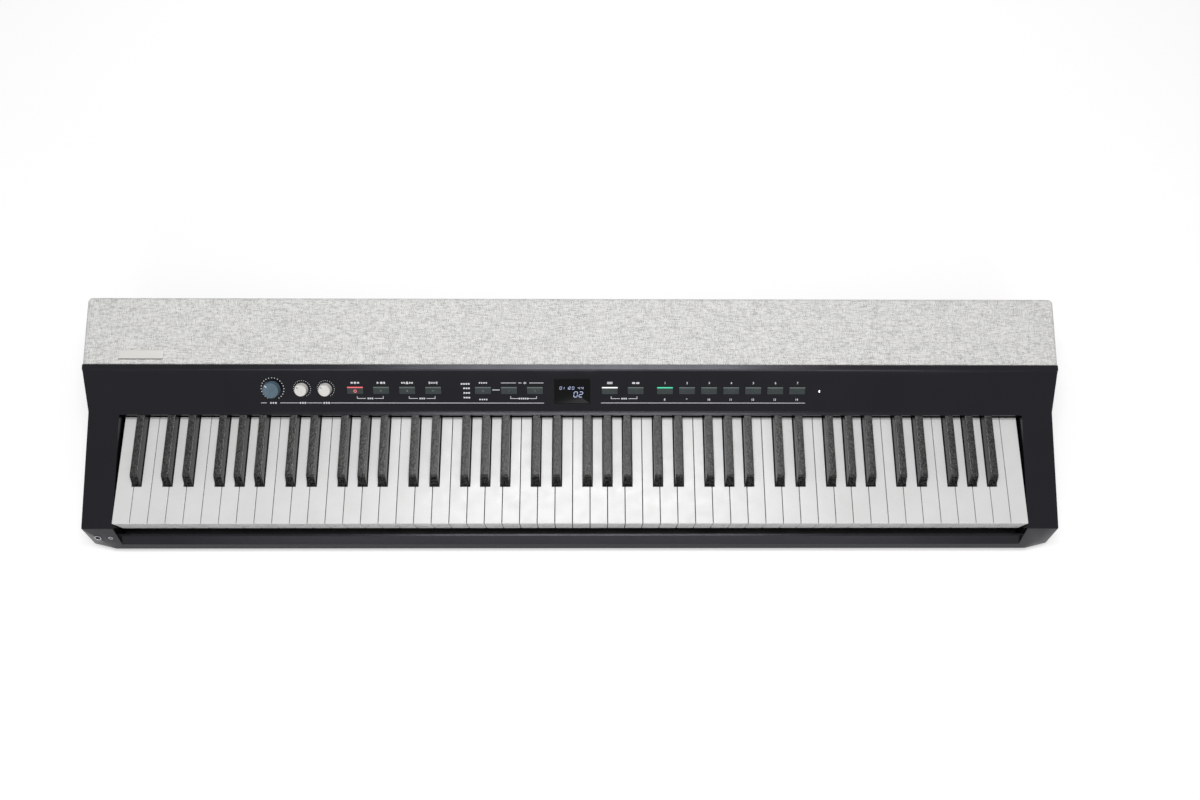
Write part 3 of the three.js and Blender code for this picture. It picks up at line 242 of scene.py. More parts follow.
def turned(profile, facets, ripple=None):
    """A turned form about Z from (radius, height) points; the ends on the axis close it"""
    form = bmesh.new()
    rings = []
    for radius, height in profile:
        if radius == 0:
            rings.append([form.verts.new((0, 0, height))])
            continue
        ring = []
        for facet in range(facets):
            angle = 2 * math.pi * facet / facets
            r = ripple(radius, height, angle) if ripple else radius
            ring.append(form.verts.new((r * math.cos(angle), r * math.sin(angle), height)))
        rings.append(ring)
    for lower, upper in zip(rings, rings[1:]):
        for facet in range(facets):
            after = (facet + 1) % facets
            corners = [lower[facet % len(lower)], lower[after % len(lower)],
                       upper[after % len(upper)], upper[facet % len(upper)]]
            form.faces.new(list(dict.fromkeys(corners)))
    return form


def object_of(form, name, smooth=35):
    """An object from a finished form, smooth where its facets meet at less than an angle"""
    bmesh.ops.recalc_face_normals(form, faces=form.faces)
    mesh = bpy.data.meshes.new(name)
    form.to_mesh(mesh)
    form.free()
    mesh.shade_smooth()
    mesh.set_sharp_from_angle(angle=math.radians(smooth))
    return placed(name, mesh)


def new_tree(name, *inputs):
    """An empty tree with a geometry input and the named inputs that follow it"""
    tree = bpy.data.node_groups.new(name, "GeometryNodeTree")
    tree.interface.new_socket("Geometry", in_out="INPUT", socket_type="NodeSocketGeometry")
    for label, kind in inputs:
        tree.interface.new_socket(label, in_out="INPUT", socket_type=f"NodeSocket{kind}")
    tree.interface.new_socket("Geometry", in_out="OUTPUT", socket_type="NodeSocketGeometry")
    return tree, tree.nodes.new("NodeGroupInput"), tree.nodes.new("NodeGroupOutput")


def plain_mesh(piece):
    """The mesh that an object's modifiers or its letters make"""
    graph = bpy.context.evaluated_depsgraph_get()
    return bpy.data.meshes.new_from_object(piece.evaluated_get(graph))


def run_tree(piece, tree, values):
    """Runs a tree on a piece with its inputs set, and leaves the plain mesh that it makes"""
    maker = piece.modifiers.new(tree.name, "NODES")
    maker.node_group = tree
    identifiers = {item.name: item.identifier for item in tree.interface.items_tree
                   if item.in_out == "INPUT"}
    for label, value in values.items():
        maker[identifiers[label]] = value
    piece.data = plain_mesh(piece)
    piece.modifiers.clear()
    return piece


def points_object(name, places):
    mesh = bpy.data.meshes.new(name)
    mesh.from_pydata(places, [], [])
    return placed(name, mesh)


def set_and_finish(tree, entry, result, points, form):
    """Ends a tree: a form is set at every point, made real and given the finish that goes in"""
    setter = tree.nodes.new("GeometryNodeInstanceOnPoints")
    solid_forms = tree.nodes.new("GeometryNodeRealizeInstances")
    finisher = tree.nodes.new("GeometryNodeSetMaterial")
    for start, end in [
        (points, setter.inputs["Points"]), (form, setter.inputs["Instance"]),
        (setter.outputs["Instances"], solid_forms.inputs["Geometry"]),
        (solid_forms.outputs["Geometry"], finisher.inputs["Geometry"]),
        (entry.outputs["Finish"], finisher.inputs["Material"]),
        (finisher.outputs["Geometry"], result.inputs["Geometry"]),
    ]:
        tree.links.new(start, end)


# A tree that sets one form at every point of a mesh: points, form and finish go in
setting_tree, entry, result = new_tree("set_at_points", ("Form", "Object"), ("Finish", "Material"))
form_info = setting_tree.nodes.new("GeometryNodeObjectInfo")
form_info.inputs["As Instance"].default_value = True
setting_tree.links.new(entry.outputs["Form"], form_info.inputs["Object"])
set_and_finish(setting_tree, entry, result, entry.outputs["Geometry"], form_info.outputs["Geometry"])


def screw_head():
    head = turned([
        (0, 0), (screw_head_radius, 0), (screw_head_radius, 0.35 * screw_head_rise),
        (0.86 * screw_head_radius, 0.78 * screw_head_rise),
        (0.55 * screw_head_radius, screw_head_rise), (0, 1.06 * screw_head_rise),
    ], 24)
    piece = object_of(head, "screw_head")
    cross = bmesh.new()
    for turn in (0, math.pi / 2):
        arm = bmesh.ops.create_cube(cross, size=1)["verts"]
        bmesh.ops.scale(cross, vec=(2 * screw_recess_half, screw_recess_width, screw_head_rise), verts=arm)
        bmesh.ops.rotate(cross, matrix=Matrix.Rotation(turn, 3, "Z"), verts=arm)
        bmesh.ops.translate(cross, vec=(0, 0, 0.95 * screw_head_rise + 1e-5 * turn), verts=arm)
    cutter = object_of(cross, "screw_cutter")
    cut = piece.modifiers.new("cross", "BOOLEAN")
    cut.operation, cut.object, cut.solver = "DIFFERENCE", cutter, "EXACT"
    cut.use_self = True
    piece.data = plain_mesh(piece)
    piece.modifiers.clear()
    bpy.data.objects.remove(cutter)
    piece.data.transform(Matrix.Rotation(math.pi, 4, "X"))
    return piece


blackened_steel = finish("blackened_steel", paint(60, 60, 62), roughness=0.38, metallic=1.0)
uneven(blackened_steel, "Roughness", scale=900, low=0.3, high=0.46)
screw_form = screw_head()
case_screws = points_object("case_screws", [(x, y, screw_seat) for x in screw_columns for y in screw_rows])
run_tree(case_screws, setting_tree, {"Form": screw_form, "Finish": blackened_steel})
bpy.data.objects.remove(screw_form)
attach(case_screws, "case")

# Rubber feet. Four turned black rubber feet pushed into sockets in the tray, with a shallow dished
# sole so that they grip.
foot_radius = 0.012
foot_height = 0.006

rubber = finish("foot_rubber", paint(22, 22, 22), roughness=0.8, specular=0.35)
uneven(rubber, "Base Color", scale=250, low=paint(18, 18, 18), high=paint(28, 28, 28))
moulded_grain(rubber, scale=1200, depth=0.00005, strength=0.6)

for foot in ("foot_front_left", "foot_front_right", "foot_rear_left", "foot_rear_right"):
    low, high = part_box(foot)
    sole = turned([
        (0, 0.0007), (0.45 * foot_radius, 0.0007), (0.58 * foot_radius, 0), (0.9 * foot_radius, 0),
        (0.97 * foot_radius, 0.0004), (foot_radius, 0.0012), (foot_radius, foot_height - 0.0009),
        (0.97 * foot_radius, foot_height - 0.0003), (0.0035, foot_height - 0.0003), (0.0035, high.z),
        (0, high.z),
    ], 48)
    bmesh.ops.translate(sole, vec=((low.x + high.x) / 2, (low.y + high.y) / 2, 0), verts=sole.verts)
    dress(object_of(sole, foot + "_rubber"), "case", "foot_rubber", rubber, stands_for=[foot])

# Speakers, their carrier, the key chassis, the boards and the display module. They lie inside,
# under the cloth and the panel, so the CAD solids stay and only take their finishes.
cone_paper = finish("speaker_paper", paint(38, 38, 39), roughness=0.85, specular=0.2)
uneven(cone_paper, "Base Color", scale=300, low=paint(30, 30, 31), high=paint(48, 47, 46))
moulded_grain(cone_paper, scale=1600, depth=0.00006)

board_green = finish("circuit_board_green", paint(24, 78, 50), roughness=0.45)
uneven(board_green, "Base Color", scale=60, low=paint(20, 68, 44), high=paint(32, 92, 60))
moulded_grain(board_green, scale=500, depth=0.00003)

window_black = finish("display_black", paint(10, 11, 11), roughness=0.2, specular=0.12)
uneven(window_black, "Roughness", scale=60, low=0.18, high=0.23)

for nodes, material in [
    (("speaker_left", "speaker_right"), cone_paper),
    (("grille_frame", "key_chassis"), inner_plastic),
    (("panel_board", "main_board"), board_green),
    (("display_module",), window_black),
]:
    for node in nodes:
        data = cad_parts[node].data
        data.materials.clear()
        data.materials.append(material)

# Sockets. The headphone sockets are nickel-plated bushes in the front of the bass cheek. The rear
# sockets are black mouldings in a plate set flush into the back wall.
socket_edge = 0.0003

nickel = finish("nickel_plate", paint(176, 178, 182), roughness=0.24, metallic=1.0)
uneven(nickel, "Roughness", scale=400, low=0.2, high=0.32)

dress(moulding("headphone_sockets", "headphone_socket_bushes", socket_edge, sharp=45), "case",
      "nickel", nickel, stands_for=["headphone_sockets"])
dress(moulding("rear_sockets", "rear_socket_plate", socket_edge, sharp=45), "case",
      "inner_plastic", inner_plastic, stands_for=["rear_sockets"])

# White keys. Hollow mouldings in ivory-white acrylic, polished on top, with a slightly rounded
# edge all round. A whole octave shares one bar at the tails, apart from the middle octave.
white_edge = 0.00045
set_octaves = (1, 2, 3, 5, 6, 7)

white_plastic = finish("ivory_white_key", paint(236, 236, 236), roughness=0.28, specular=0.45)
uneven(white_plastic, "Base Color", scale=24, low=paint(233, 233, 232), high=paint(239, 239, 239))
uneven(white_plastic, "Roughness", scale=60, low=0.24, high=0.34)
moulded_grain(white_plastic, scale=260, depth=0.00002, strength=0.25)

white_nodes = [f"white_keys_octave_{octave}" for octave in set_octaves]
white_nodes += [f"white_key_{note}4" for note in "cdefgab"]
for node in white_nodes:
    dress(moulding(node, node.replace("white_key", "ivory_key"), white_edge), node, "key_white",
          white_plastic, stands_for=[node])

# Black keys. Tapered hollow mouldings with a sloped nose and a matt, coarsely grained top. They
# stand in twos and threes between the tails of the white keys; those of a set share one bar.
key_pitch = 0.0235
keyboard_left = -0.611
low_tail = 3 * key_pitch / 5
high_tail = 4 * key_pitch / 7
black_offsets = {
    "c": 1.5 * low_tail, "d": 3.5 * low_tail, "f": 3 * key_pitch + 1.5 * high_tail,
    "g": 3 * key_pitch + 3.5 * high_tail, "a": 3 * key_pitch + 5.5 * high_tail,
}
key_top = 0.066
black_front = -0.08585
black_slope_end = -0.07495
black_rear = 0.00885
black_rise = 0.0136
black_base_half = 0.0059
black_top_half = 0.0051
black_edge = 0.0007
black_depth = 0.0193
black_nose_blend = 0.0024
tail_top = -0.0133
tail_end = 0.09685
bar_front, bar_rear = 0.05885, 0.06885
bar_inset = 0.0008
last_white = 51
nose_drop = 0.0009
grain_lumps = 470
grain_relief = 0.0007
nose_dulling = -0.34
edge_steps, slope_steps, blend_steps, top_steps = 5, 6, 6, 8


def walled(form, lower, upper):
    """Faces between two rings with as many points, in their order"""
    faces = []
    for index in range(len(lower)):
        after = (index + 1) % len(lower)
        faces.append(form.faces.new([lower[index], lower[after], upper[after], upper[index]]))
    return faces


def black_key_form():
    """One black key from its nose to its knuckle, centred on x = 0, from closed cross-sections"""
    form = bmesh.new()
    slope = math.atan2(black_rise + nose_drop, black_slope_end - black_front)

    def ring(y, top, inset=0.0):
        def half(z):
            return black_base_half - inset - max(z, 0) * (black_base_half - black_top_half) / black_rise
        edge = black_edge
        side = [(half(0), -black_depth), (half(0), min(0, top - edge)),
                (half(top - edge), top - edge)]
        for step in range(1, edge_steps + 1):
            angle = math.pi / 2 * step / edge_steps
            side.append((half(top - edge) - edge + edge * math.cos(angle),
                         top - edge + edge * math.sin(angle)))
        crown = [(x * side[-1][0], side[-1][1] + 0.00012 * (1 - x * x)) for x in (0.55, 0.0, -0.55)]
        outline = side + crown + [(-x, z) for x, z in reversed(side)]
        return [form.verts.new((x, y, key_top + z)) for x, z in outline]

    # Stations from the nose back: place along Y, level of the top, inset of the sides
    stations = [(black_front, -0.0016, 0.0006), (black_front + 0.0001, -0.0012, 0.0002),
                (black_front + 0.0004, -0.0005, 0.0)]
    slope_run = black_slope_end - black_nose_blend - black_front
    for step in range(1, slope_steps):
        reach = step / slope_steps * slope_run
        stations.append((black_front + reach, -nose_drop + reach * math.tan(slope), 0.0))
    for step in range(blend_steps + 1):
        share = step / blend_steps
        y = black_slope_end - black_nose_blend + 2 * black_nose_blend * share
        linear = black_rise - black_nose_blend * math.tan(slope)
        rise = linear + black_nose_blend * math.tan(slope) * (2 * share - share * share)
        stations.append((y, rise, 0.0))
    for step in range(1, top_steps + 1):
        y = black_slope_end + black_nose_blend
        stations.append((y + (black_rear - y) * step / top_steps, black_rise, 0.0))
    stations += [(black_rear + 0.00005, tail_top, 0.0), (bar_front, tail_top, 0.0),
                 (tail_end - 0.008, tail_top, 0.0), (tail_end - 0.002, tail_top + 0.002, 0.0)]
    grained = form.loops.layers.float.new("grained")
    nose = form.loops.layers.float.new("nose")
    rings = [ring(*station) for station in stations]
    # Counted round a ring: the faces on top, then those and the upper part of its rounded edges
    top_faces, nose_faces = range(7, 11), range(5, 13)
    for place, (here, there) in enumerate(zip(rings, rings[1:])):
        on_nose = stations[place + 1][0] < black_slope_end
        for index, face in enumerate(walled(form, here, there)):
            for loop in face.loops:
                loop[grained] = 1.0 if index in top_faces else 0.0
                loop[nose] = 1.0 if on_nose and index in nose_faces else 0.0
    form.faces.new(rings[0])
    form.faces.new(list(reversed(rings[-1])))
    return object_of(form, "black_key_form", smooth=42)


def black_centres(first, last):
    """Places along X of the black keys to the right of white keys first to last"""
    centres = []
    for index in range(first, last + 1):
        note = "abcdefg"[index % 7]
        if note in black_offsets and index < last_white:
            octave_left = keyboard_left + (index - "cdefgab".index(note)) * key_pitch
            centres.append(octave_left + black_offsets[note])
    return centres


def key_black():
    """Satin black on the sides, a coarse leather-like grain that glints on top, a duller nose"""
    material = finish("black_key_grained", paint(30, 30, 31), roughness=0.2)
    nodes, links = material.node_tree.nodes, material.node_tree.links
    surface = nodes["Principled BSDF"]
    top = nodes.new("ShaderNodeAttribute")
    top.attribute_name = "grained"
    lumps = noise(material, grain_lumps, detail=2.0)
    speckle = shaded(material, lumps, low=paint(4, 4, 5), high=paint(60, 60, 58), start=0.42, end=0.58)
    sides = shaded(material, noise(material, scale=60), low=paint(44, 44, 45), high=paint(52, 52, 53))
    shade = nodes.new("ShaderNodeMix")
    shade.data_type = "RGBA"
    links.new(top.outputs["Fac"], shade.inputs["Factor"])
    links.new(sides, shade.inputs["A"])
    links.new(speckle, shade.inputs["B"])
    links.new(shade.outputs["Result"], surface.inputs["Base Color"])
    grain = relief(material, lumps, grain_relief, strength=1.0)
    for socket, on_side, on_top in [(surface.inputs["Roughness"], 0.2, 0.3),
                                    (surface.inputs["Specular IOR Level"], 0.5, 0.38),
                                    (grain.inputs["Strength"], 0.02, 0.9)]:
        chosen = nodes.new("ShaderNodeMapRange")
        chosen.inputs["To Min"].default_value, chosen.inputs["To Max"].default_value = on_side, on_top
        links.new(top.outputs["Fac"], chosen.inputs["Value"])
        links.new(chosen.outputs["Result"], socket)
    nose = nodes.new("ShaderNodeAttribute")
    nose.attribute_name = "nose"
    less = nodes.new("ShaderNodeMath")
    less.operation = "MULTIPLY_ADD"
    less.inputs[1].default_value = nose_dulling
    gloss = surface.inputs["Specular IOR Level"]
    links.new(nose.outputs["Fac"], less.inputs[0])
    links.new(gloss.links[0].from_socket, less.inputs[2])
    links.new(less.outputs[0], gloss)
    return material


black_plastic = key_black()

black_form = black_key_form()
first_white = {1: 0, 2: 9, 3: 16, 5: 30, 6: 37, 7: 44}
for octave in set_octaves:
    first = first_white[octave]
    last = last_white if octave == 7 else first + (8 if octave == 1 else 6)
    centres = black_centres(first, last)
    keys = points_object(f"ebony_keys_octave_{octave}", [(x, 0, 0) for x in centres])
    run_tree(keys, setting_tree, {"Form": black_form, "Finish": black_plastic})
    bar = bmesh.new()
    bar.from_mesh(keys.data)
    left, right = centres[0], centres[-1]
    bar_height = tail_top + black_depth - bar_inset
    block = bmesh.ops.create_cube(bar, size=1)["verts"]
    bmesh.ops.scale(bar, vec=(right - left, bar_rear - bar_front, bar_height), verts=block)
    bmesh.ops.translate(bar, vec=((left + right) / 2, (bar_front + bar_rear) / 2,
                                  key_top + (tail_top - black_depth) / 2), verts=block)
    bar.to_mesh(keys.data)
    bar.free()
    node = f"black_keys_octave_{octave}"
    dress(keys, node, "key_black", stands_for=[node])
for index, note in [(23, "c"), (24, "d"), (26, "f"), (27, "g"), (28, "a")]:
    node = f"black_key_{note}_sharp4"
    key = points_object(f"ebony_key_{note}_sharp4", [(x, 0, 0) for x in black_centres(index, index)])
    run_tree(key, setting_tree, {"Form": black_form, "Finish": black_plastic})
    dress(key, node, "key_black", stands_for=[node])
bpy.data.objects.remove(black_form)

# Key felt. A strip of black felt glued up behind the lip of the panel. It closes the gap over the
# tails of the keys against dust, and its black also stands for the shade under the lip: partly real felt,
# partly painted shade.
felt_half = 0.6125
felt_middle = (0, 0.01125, 0.0695)
felt_thickness, felt_height = 0.0018, 0.0135
felt_ripple, felt_ripple_turn = 0.00012, 310

felt_shade_black = finish("black_felt_and_shade", paint(9, 9, 10), roughness=0.95, specular=0.05)
uneven(felt_shade_black, "Base Color", scale=700, low=paint(7, 7, 8), high=paint(14, 14, 15))
moulded_grain(felt_shade_black, scale=2200, depth=0.0001, strength=0.8)

# Partly painted shade: the black strip darkens the band under the lip where shade falls, as well as being the
# felt.
strip_form = bmesh.new()
bmesh.ops.create_grid(strip_form, x_segments=120, y_segments=4, size=1)
bmesh.ops.scale(strip_form, vec=(felt_half, felt_height / 2, 1), verts=strip_form.verts)
strip_form.transform(Matrix.Translation(felt_middle) @ Matrix.Rotation(math.pi / 2, 4, "X"))
for vert in strip_form.verts:
    vert.co.y += felt_ripple * math.sin(felt_ripple_turn * vert.co.x)
key_felt = object_of(strip_form, "key_felt")
pile = key_felt.modifiers.new("thickness", "SOLIDIFY")
pile.thickness, pile.offset = felt_thickness, 0
dress(key_felt, "case", None, felt_shade_black)

# Speaker cloth. Light grey melange cloth, woven from slubby warp and weft, cut once and stretched
# over the moulded lid, round its edges and down to the seam with the case.
lid_half = 0.656
lid_front, lid_rear = 0.06965, 0.16165
lid_front_height = 0.1152
lid_rise = 0.0108 / 0.092
lid_skirt = 0.0137
cloth_thickness = 0.0009
front_fold, side_fold = 0.0012, 0.005
front_corner, rear_corner = 0.0016, 0.007
crown_insets = (0.009, 0.016, 0.026, 0.038)
crown_rises = (0.00008, 0.00018, 0.00028, 0.00033)
corner_points, long_pieces, short_pieces, fold_steps = 9, 40, 6, 6
thread_pitch, thread_relief = 0.00125, 0.00012
weft_slub, warp_slub = 0.0110, 0.0050
pale_thread = (0.95, 0.945, 0.925)


def lid_top(y):
    return lid_front_height + (y - lid_front) * lid_rise


def speaker_cloth():
    """The stretched cloth as rings, from the hem up over the folds to the middle of the top"""
    form = bmesh.new()
    flat = form.loops.layers.uv.new("flat_cut")
    rings = []

    def ring(front_inset, side_inset, front_drop, side_drop, crown, front_reach, side_reach):
        """front and side reach are how far the flat cloth lies beyond the start of the fold"""
        points = []
        corners = [
            (-1, lid_front, 1, front_inset, front_corner, 180, 270),
            (1, lid_front, 1, front_inset, front_corner, 270, 360),
            (1, lid_rear, -1, side_inset, rear_corner, 0, 90),
            (-1, lid_rear, -1, side_inset, rear_corner, 90, 180),
        ]
        for side, y_edge, inward, inset, radius, start, end in corners:
            kept = max(radius - max(inset, side_inset), 0)
            cx = side * (lid_half - side_inset - kept)
            cy = y_edge + inward * (inset + kept)
            for step in range(corner_points):
                angle = math.radians(start + (end - start) * step / (corner_points - 1))
                nx, ny = math.cos(angle), math.sin(angle)
                frontness = max(-ny, 0) ** 2
                drop = side_drop + (front_drop - side_drop) * frontness
                reach = side_reach + (front_reach - side_reach) * frontness
                x, y = cx + kept * nx, cy + kept * ny
                z = lid_top(y) - drop + crown
                fold = side_fold + (front_fold - side_fold) * frontness
                base_x = side * (lid_half - max(side_inset, side_fold)) if abs(nx) > 0.01 else x
                base_y = y_edge + inward * max(inset, fold if inward < 0 else front_fold)
                if reach == 0:
                    base_x, base_y = x, y
                points.append((Vector((x, y, z)), (base_x + nx * reach, base_y + ny * reach)))
        filled = []
        for index, (here, cut) in enumerate(points):
            there, cut_there = points[(index + 1) % len(points)]
            filled.append((here, cut))
            if index % corner_points == corner_points - 1:
                along_x = abs(there.x - here.x) > abs(there.y - here.y)
                pieces = long_pieces if along_x else short_pieces
                for step in range(1, pieces):
                    share = step / pieces
                    filled.append((here.lerp(there, share),
                                   tuple(a + (b - a) * share for a, b in zip(cut, cut_there))))
        return [(form.verts.new(p), cut) for p, cut in filled]

    rings.append(ring(0, 0, lid_skirt, lid_skirt, 0, lid_skirt, lid_skirt))
    rings.append(ring(0, 0, 0.5 * lid_skirt, 0.7 * lid_skirt, 0, 0.5 * lid_skirt, 0.7 * lid_skirt))
    for step in range(fold_steps + 1):
        angle = math.pi / 2 * step / fold_steps
        rings.append(ring(
            front_fold * (1 - math.cos(angle)), side_fold * (1 - math.cos(angle)),
            front_fold * (1 - math.sin(angle)), side_fold * (1 - math.sin(angle)), 0,
            front_fold * (math.pi / 2 - angle) if step < fold_steps else 0,
            side_fold * (math.pi / 2 - angle) if step < fold_steps else 0))
    for inset, crown in zip(crown_insets, crown_rises):
        rings.append(ring(inset, inset, 0, 0, crown, 0, 0))
    for here, there in zip(rings, rings[1:]):
        for index in range(len(here)):
            after = (index + 1) % len(here)
            quad = [here[index], here[after], there[after], there[index]]
            face = form.faces.new([v for v, cut in quad])
            for loop, (v, cut) in zip(face.loops, quad):
                loop[flat].uv = cut
    # The corners of the last ring have shrunk to points: quads join its long sides, and a fan of
    # triangles closes each end
    inner = rings[-1]
    half_way, front_end = len(inner) // 2, corner_points + long_pieces - 1
    front = inner[corner_points:front_end]
    back = inner[half_way + corner_points:half_way + front_end][::-1]
    left = inner[-short_pieces:] + inner[:1]
    right = inner[half_way - short_pieces:half_way + 1]
    middle = [(front[i], front[i + 1], back[i + 1], back[i]) for i in range(len(front) - 1)]
    middle += [(front[0], here, there) for here, there in zip([back[0]] + left, left)]
    middle += [(front[-1], here, there) for here, there in zip(right, right[1:] + [back[-1]])]
    for corners in middle:
        face = form.faces.new([v for v, cut in corners])
        for loop, (v, cut) in zip(face.loops, corners):
            loop[flat].uv = cut
    bmesh.ops.remove_doubles(form, verts=form.verts, dist=1e-7)
    return object_of(form, "speaker_cloth_sheet", smooth=60)


def weave():
    """Plain weave in the cloth's own flat measure: every thread has its own slubs and shade"""
    material = finish("melange_cloth", paint(212, 212, 209), roughness=0.85, specular=0.15)
    nodes, links = material.node_tree.nodes, material.node_tree.links
    surface = nodes["Principled BSDF"]
    surface.inputs["Sheen Weight"].default_value = 0.12
    surface.inputs["Sheen Roughness"].default_value = 0.5
    cut = nodes.new("ShaderNodeUVMap")
    cut.uv_map = "flat_cut"
    split = nodes.new("ShaderNodeSeparateXYZ")
    links.new(cut.outputs["UV"], split.inputs["Vector"])

    def worked(operation, a, b=None, c=None):
        node = nodes.new("ShaderNodeMath")
        node.operation = operation
        for socket, value in zip(node.inputs, (a, b, c)):
            if isinstance(value, (int, float)):
                socket.default_value = value
            elif value is not None:
                links.new(value, socket)
        return node.outputs[0]

    def threads(along, across, lump, dark, light):
        """Shade that is steady across a thread and wanders along it, lump metres at a time"""
        place = nodes.new("ShaderNodeCombineXYZ")
        links.new(worked("DIVIDE", along, lump), place.inputs["X"])
        links.new(worked("MULTIPLY", worked("FLOOR", worked("DIVIDE", across, thread_pitch)), 3.17),
                  place.inputs["Y"])
        place.inputs["Z"].default_value = lump * 900
        cloud = nodes.new("ShaderNodeTexNoise")
        cloud.inputs["Scale"].default_value = 1.0
        cloud.inputs["Detail"].default_value = 2.0
        cloud.inputs["Roughness"].default_value = 0.65
        links.new(place.outputs["Vector"], cloud.inputs["Vector"])
        return shaded(material, cloud.outputs["Fac"], (*dark, 1), (*light, 1), start=0.34, end=0.58)

    def blended(kind, first, second, factor):
        mix = nodes.new("ShaderNodeMix")
        mix.data_type, mix.blend_type = "RGBA", kind
        if isinstance(factor, float):
            mix.inputs["Factor"].default_value = factor
        else:
            links.new(factor, mix.inputs["Factor"])
        links.new(first, mix.inputs["A"])
        links.new(second, mix.inputs["B"])
        return mix.outputs["Result"]

    wave_x = worked("SINE", worked("MULTIPLY", split.outputs["X"], math.pi / thread_pitch))
    wave_y = worked("SINE", worked("MULTIPLY", split.outputs["Y"], math.pi / thread_pitch))
    warp = worked("MULTIPLY_ADD", worked("SIGN", wave_x), wave_y, worked("ABSOLUTE", wave_x))
    weft = worked("SUBTRACT", worked("ABSOLUTE", wave_y), worked("MULTIPLY", worked("SIGN", wave_y), wave_x))
    height = worked("MAXIMUM", warp, weft)
    across_lid, up_lid = split.outputs["X"], split.outputs["Y"]
    weft_shade = threads(across_lid, up_lid, weft_slub, (0.47, 0.47, 0.465), pale_thread)
    warp_shade = threads(up_lid, across_lid, warp_slub, (0.53, 0.53, 0.525), pale_thread)
    colour = blended("MIX", warp_shade, weft_shade, worked("GREATER_THAN", weft, warp))
    # Painted shade: the low places between the threads are painted darker, as the shade that falls in them.
    painted_weave_shade = shaded(material, height, low=0.78, high=1.0, end=0.8)
    links.new(blended("MULTIPLY", colour, painted_weave_shade, 1.0), surface.inputs["Base Color"])
    relief(material, height, thread_relief, strength=0.7)
    return material


cloth = speaker_cloth()
backing = cloth.modifiers.new("thickness", "SOLIDIFY")
backing.thickness = cloth_thickness
backing.offset = -1
dress(cloth, "case", "speaker_cloth", weave(), stands_for=["grille_cloth"])

# Badge plate. A bare pressed plate of pale satin metal with a rounded edge, pinned through the cloth at
# the bass end of the lid. A thin black sheet under it, reaching past its front edge, is painted shadow.
badge_middle = (-0.5781, 0.0826)
badge_half = (0.0295, 0.0058)
badge_rise = 0.0010


def stacked(rings):
    """A closed form from rounded rectangles: half width, half height, corner radius, level"""
    form = bmesh.new()
    levels = []
    for half_x, half_y, radius, level in rings:
        ring = []
        for cx, cy, start in [(1, 1, 0), (-1, 1, 90), (-1, -1, 180), (1, -1, 270)]:
            for step in range(5):
                angle = math.radians(start + 90 * step / 4)
                ring.append(form.verts.new((cx * (half_x - radius) + radius * math.cos(angle),
                                            cy * (half_y - radius) + radius * math.sin(angle), level)))
        levels.append(ring)
    for lower, upper in zip(levels, levels[1:]):
        walled(form, lower, upper)
    form.faces.new(list(reversed(levels[0])))
    form.faces.new(levels[-1])
    return form


badge_metal = finish("satin_plate", paint(232, 231, 227), roughness=0.36, metallic=0.2)
uneven(badge_metal, "Roughness", scale=40, low=0.3, high=0.42, stretch=(1, 60, 1))
moulded_grain(badge_metal, scale=2400, depth=0.00001, strength=0.2)
lid_frame = (Matrix.Translation((badge_middle[0], badge_middle[1], lid_top(badge_middle[1]) + 0.0001))
             @ Matrix.Rotation(math.atan(lid_rise), 4, "X"))
half_x, half_y = badge_half
badge = stacked([
    (half_x, half_y, 0.0006, -0.0003), (half_x, half_y, 0.0006, badge_rise - 0.0004),
    (half_x - 0.00012, half_y - 0.00012, 0.0005, badge_rise - 0.0001),
    (half_x - 0.0004, half_y - 0.0004, 0.0004, badge_rise),
    (half_x - 0.0009, half_y - 0.0009, 0.0003, badge_rise),
    (half_x - 0.0010, half_y - 0.0010, 0.0003, badge_rise - 0.00015),
])
badge.transform(lid_frame)
dress(object_of(badge, "badge_plate"), "case", "nickel", badge_metal)
# Painted shadow: a thin black sheet under the plate, reaching a little further forward, stands for the dark
# line of shade below the plate's front edge.
shadow_sheet = stacked([
    (half_x + 0.0001, half_y + 0.0001, 0.0006, -0.0003), (half_x + 0.0001, half_y + 0.0001, 0.0006, 0.00045),
    (half_x - 0.0002, half_y - 0.0002, 0.0005, 0.0006),
])
bmesh.ops.translate(shadow_sheet, vec=(0, -0.0007, 0), verts=shadow_sheet.verts)
shadow_sheet.transform(lid_frame)
dress(object_of(shadow_sheet, "badge_pad"), "case", "foot_rubber", rubber)

# Panel buttons. Each is a slate-grey cap with a soft dished top, and a clear light bar set into
# its upper edge. Three bars are lit: red, white and green.
panel_foot = (0, 0.01285, 0.0803)
panel_rise, panel_run = 0.035, 0.0525
panel_frame = Matrix.Translation(panel_foot) @ Matrix.Rotation(math.atan2(panel_rise, panel_run), 4, "X")
button_row = 0.0313
button_half_x, button_half_y = 0.01095, 0.0051
button_rise = 0.0015
flange = 0.0012
light_bar_height = 0.0017
sound_first, sound_pitch, sound_count = 0.1246, 0.02987, 7
button_places = {
    "record": -0.293, "play": -0.258, "metronome": -0.223, "rhythm": -0.188, "function": -0.121,
    "tempo_down": -0.086, "tempo_up": -0.051, "layer": 0.050, "split": 0.085,
    **{f"sound_{n + 1}": sound_first + sound_pitch * n for n in range(sound_count)},
}
lit_bars = {"record": (232, 104, 112), "layer": (250, 250, 250), "sound_1": (70, 208, 160)}


def on_panel(x, s, level=0.0):
    return panel_frame @ Matrix.Translation((x, s, level))


def inlaid(form, part):
    """Joins a second part into a form, and gives it the piece's second finish"""
    own_faces = len(form.faces)
    mesh = bpy.data.meshes.new("inlaid_part")
    part.to_mesh(mesh)
    part.free()
    form.from_mesh(mesh)
    bpy.data.meshes.remove(mesh)
    form.faces.ensure_lookup_table()
    for face in form.faces[own_faces:]:
        face.material_index = 1


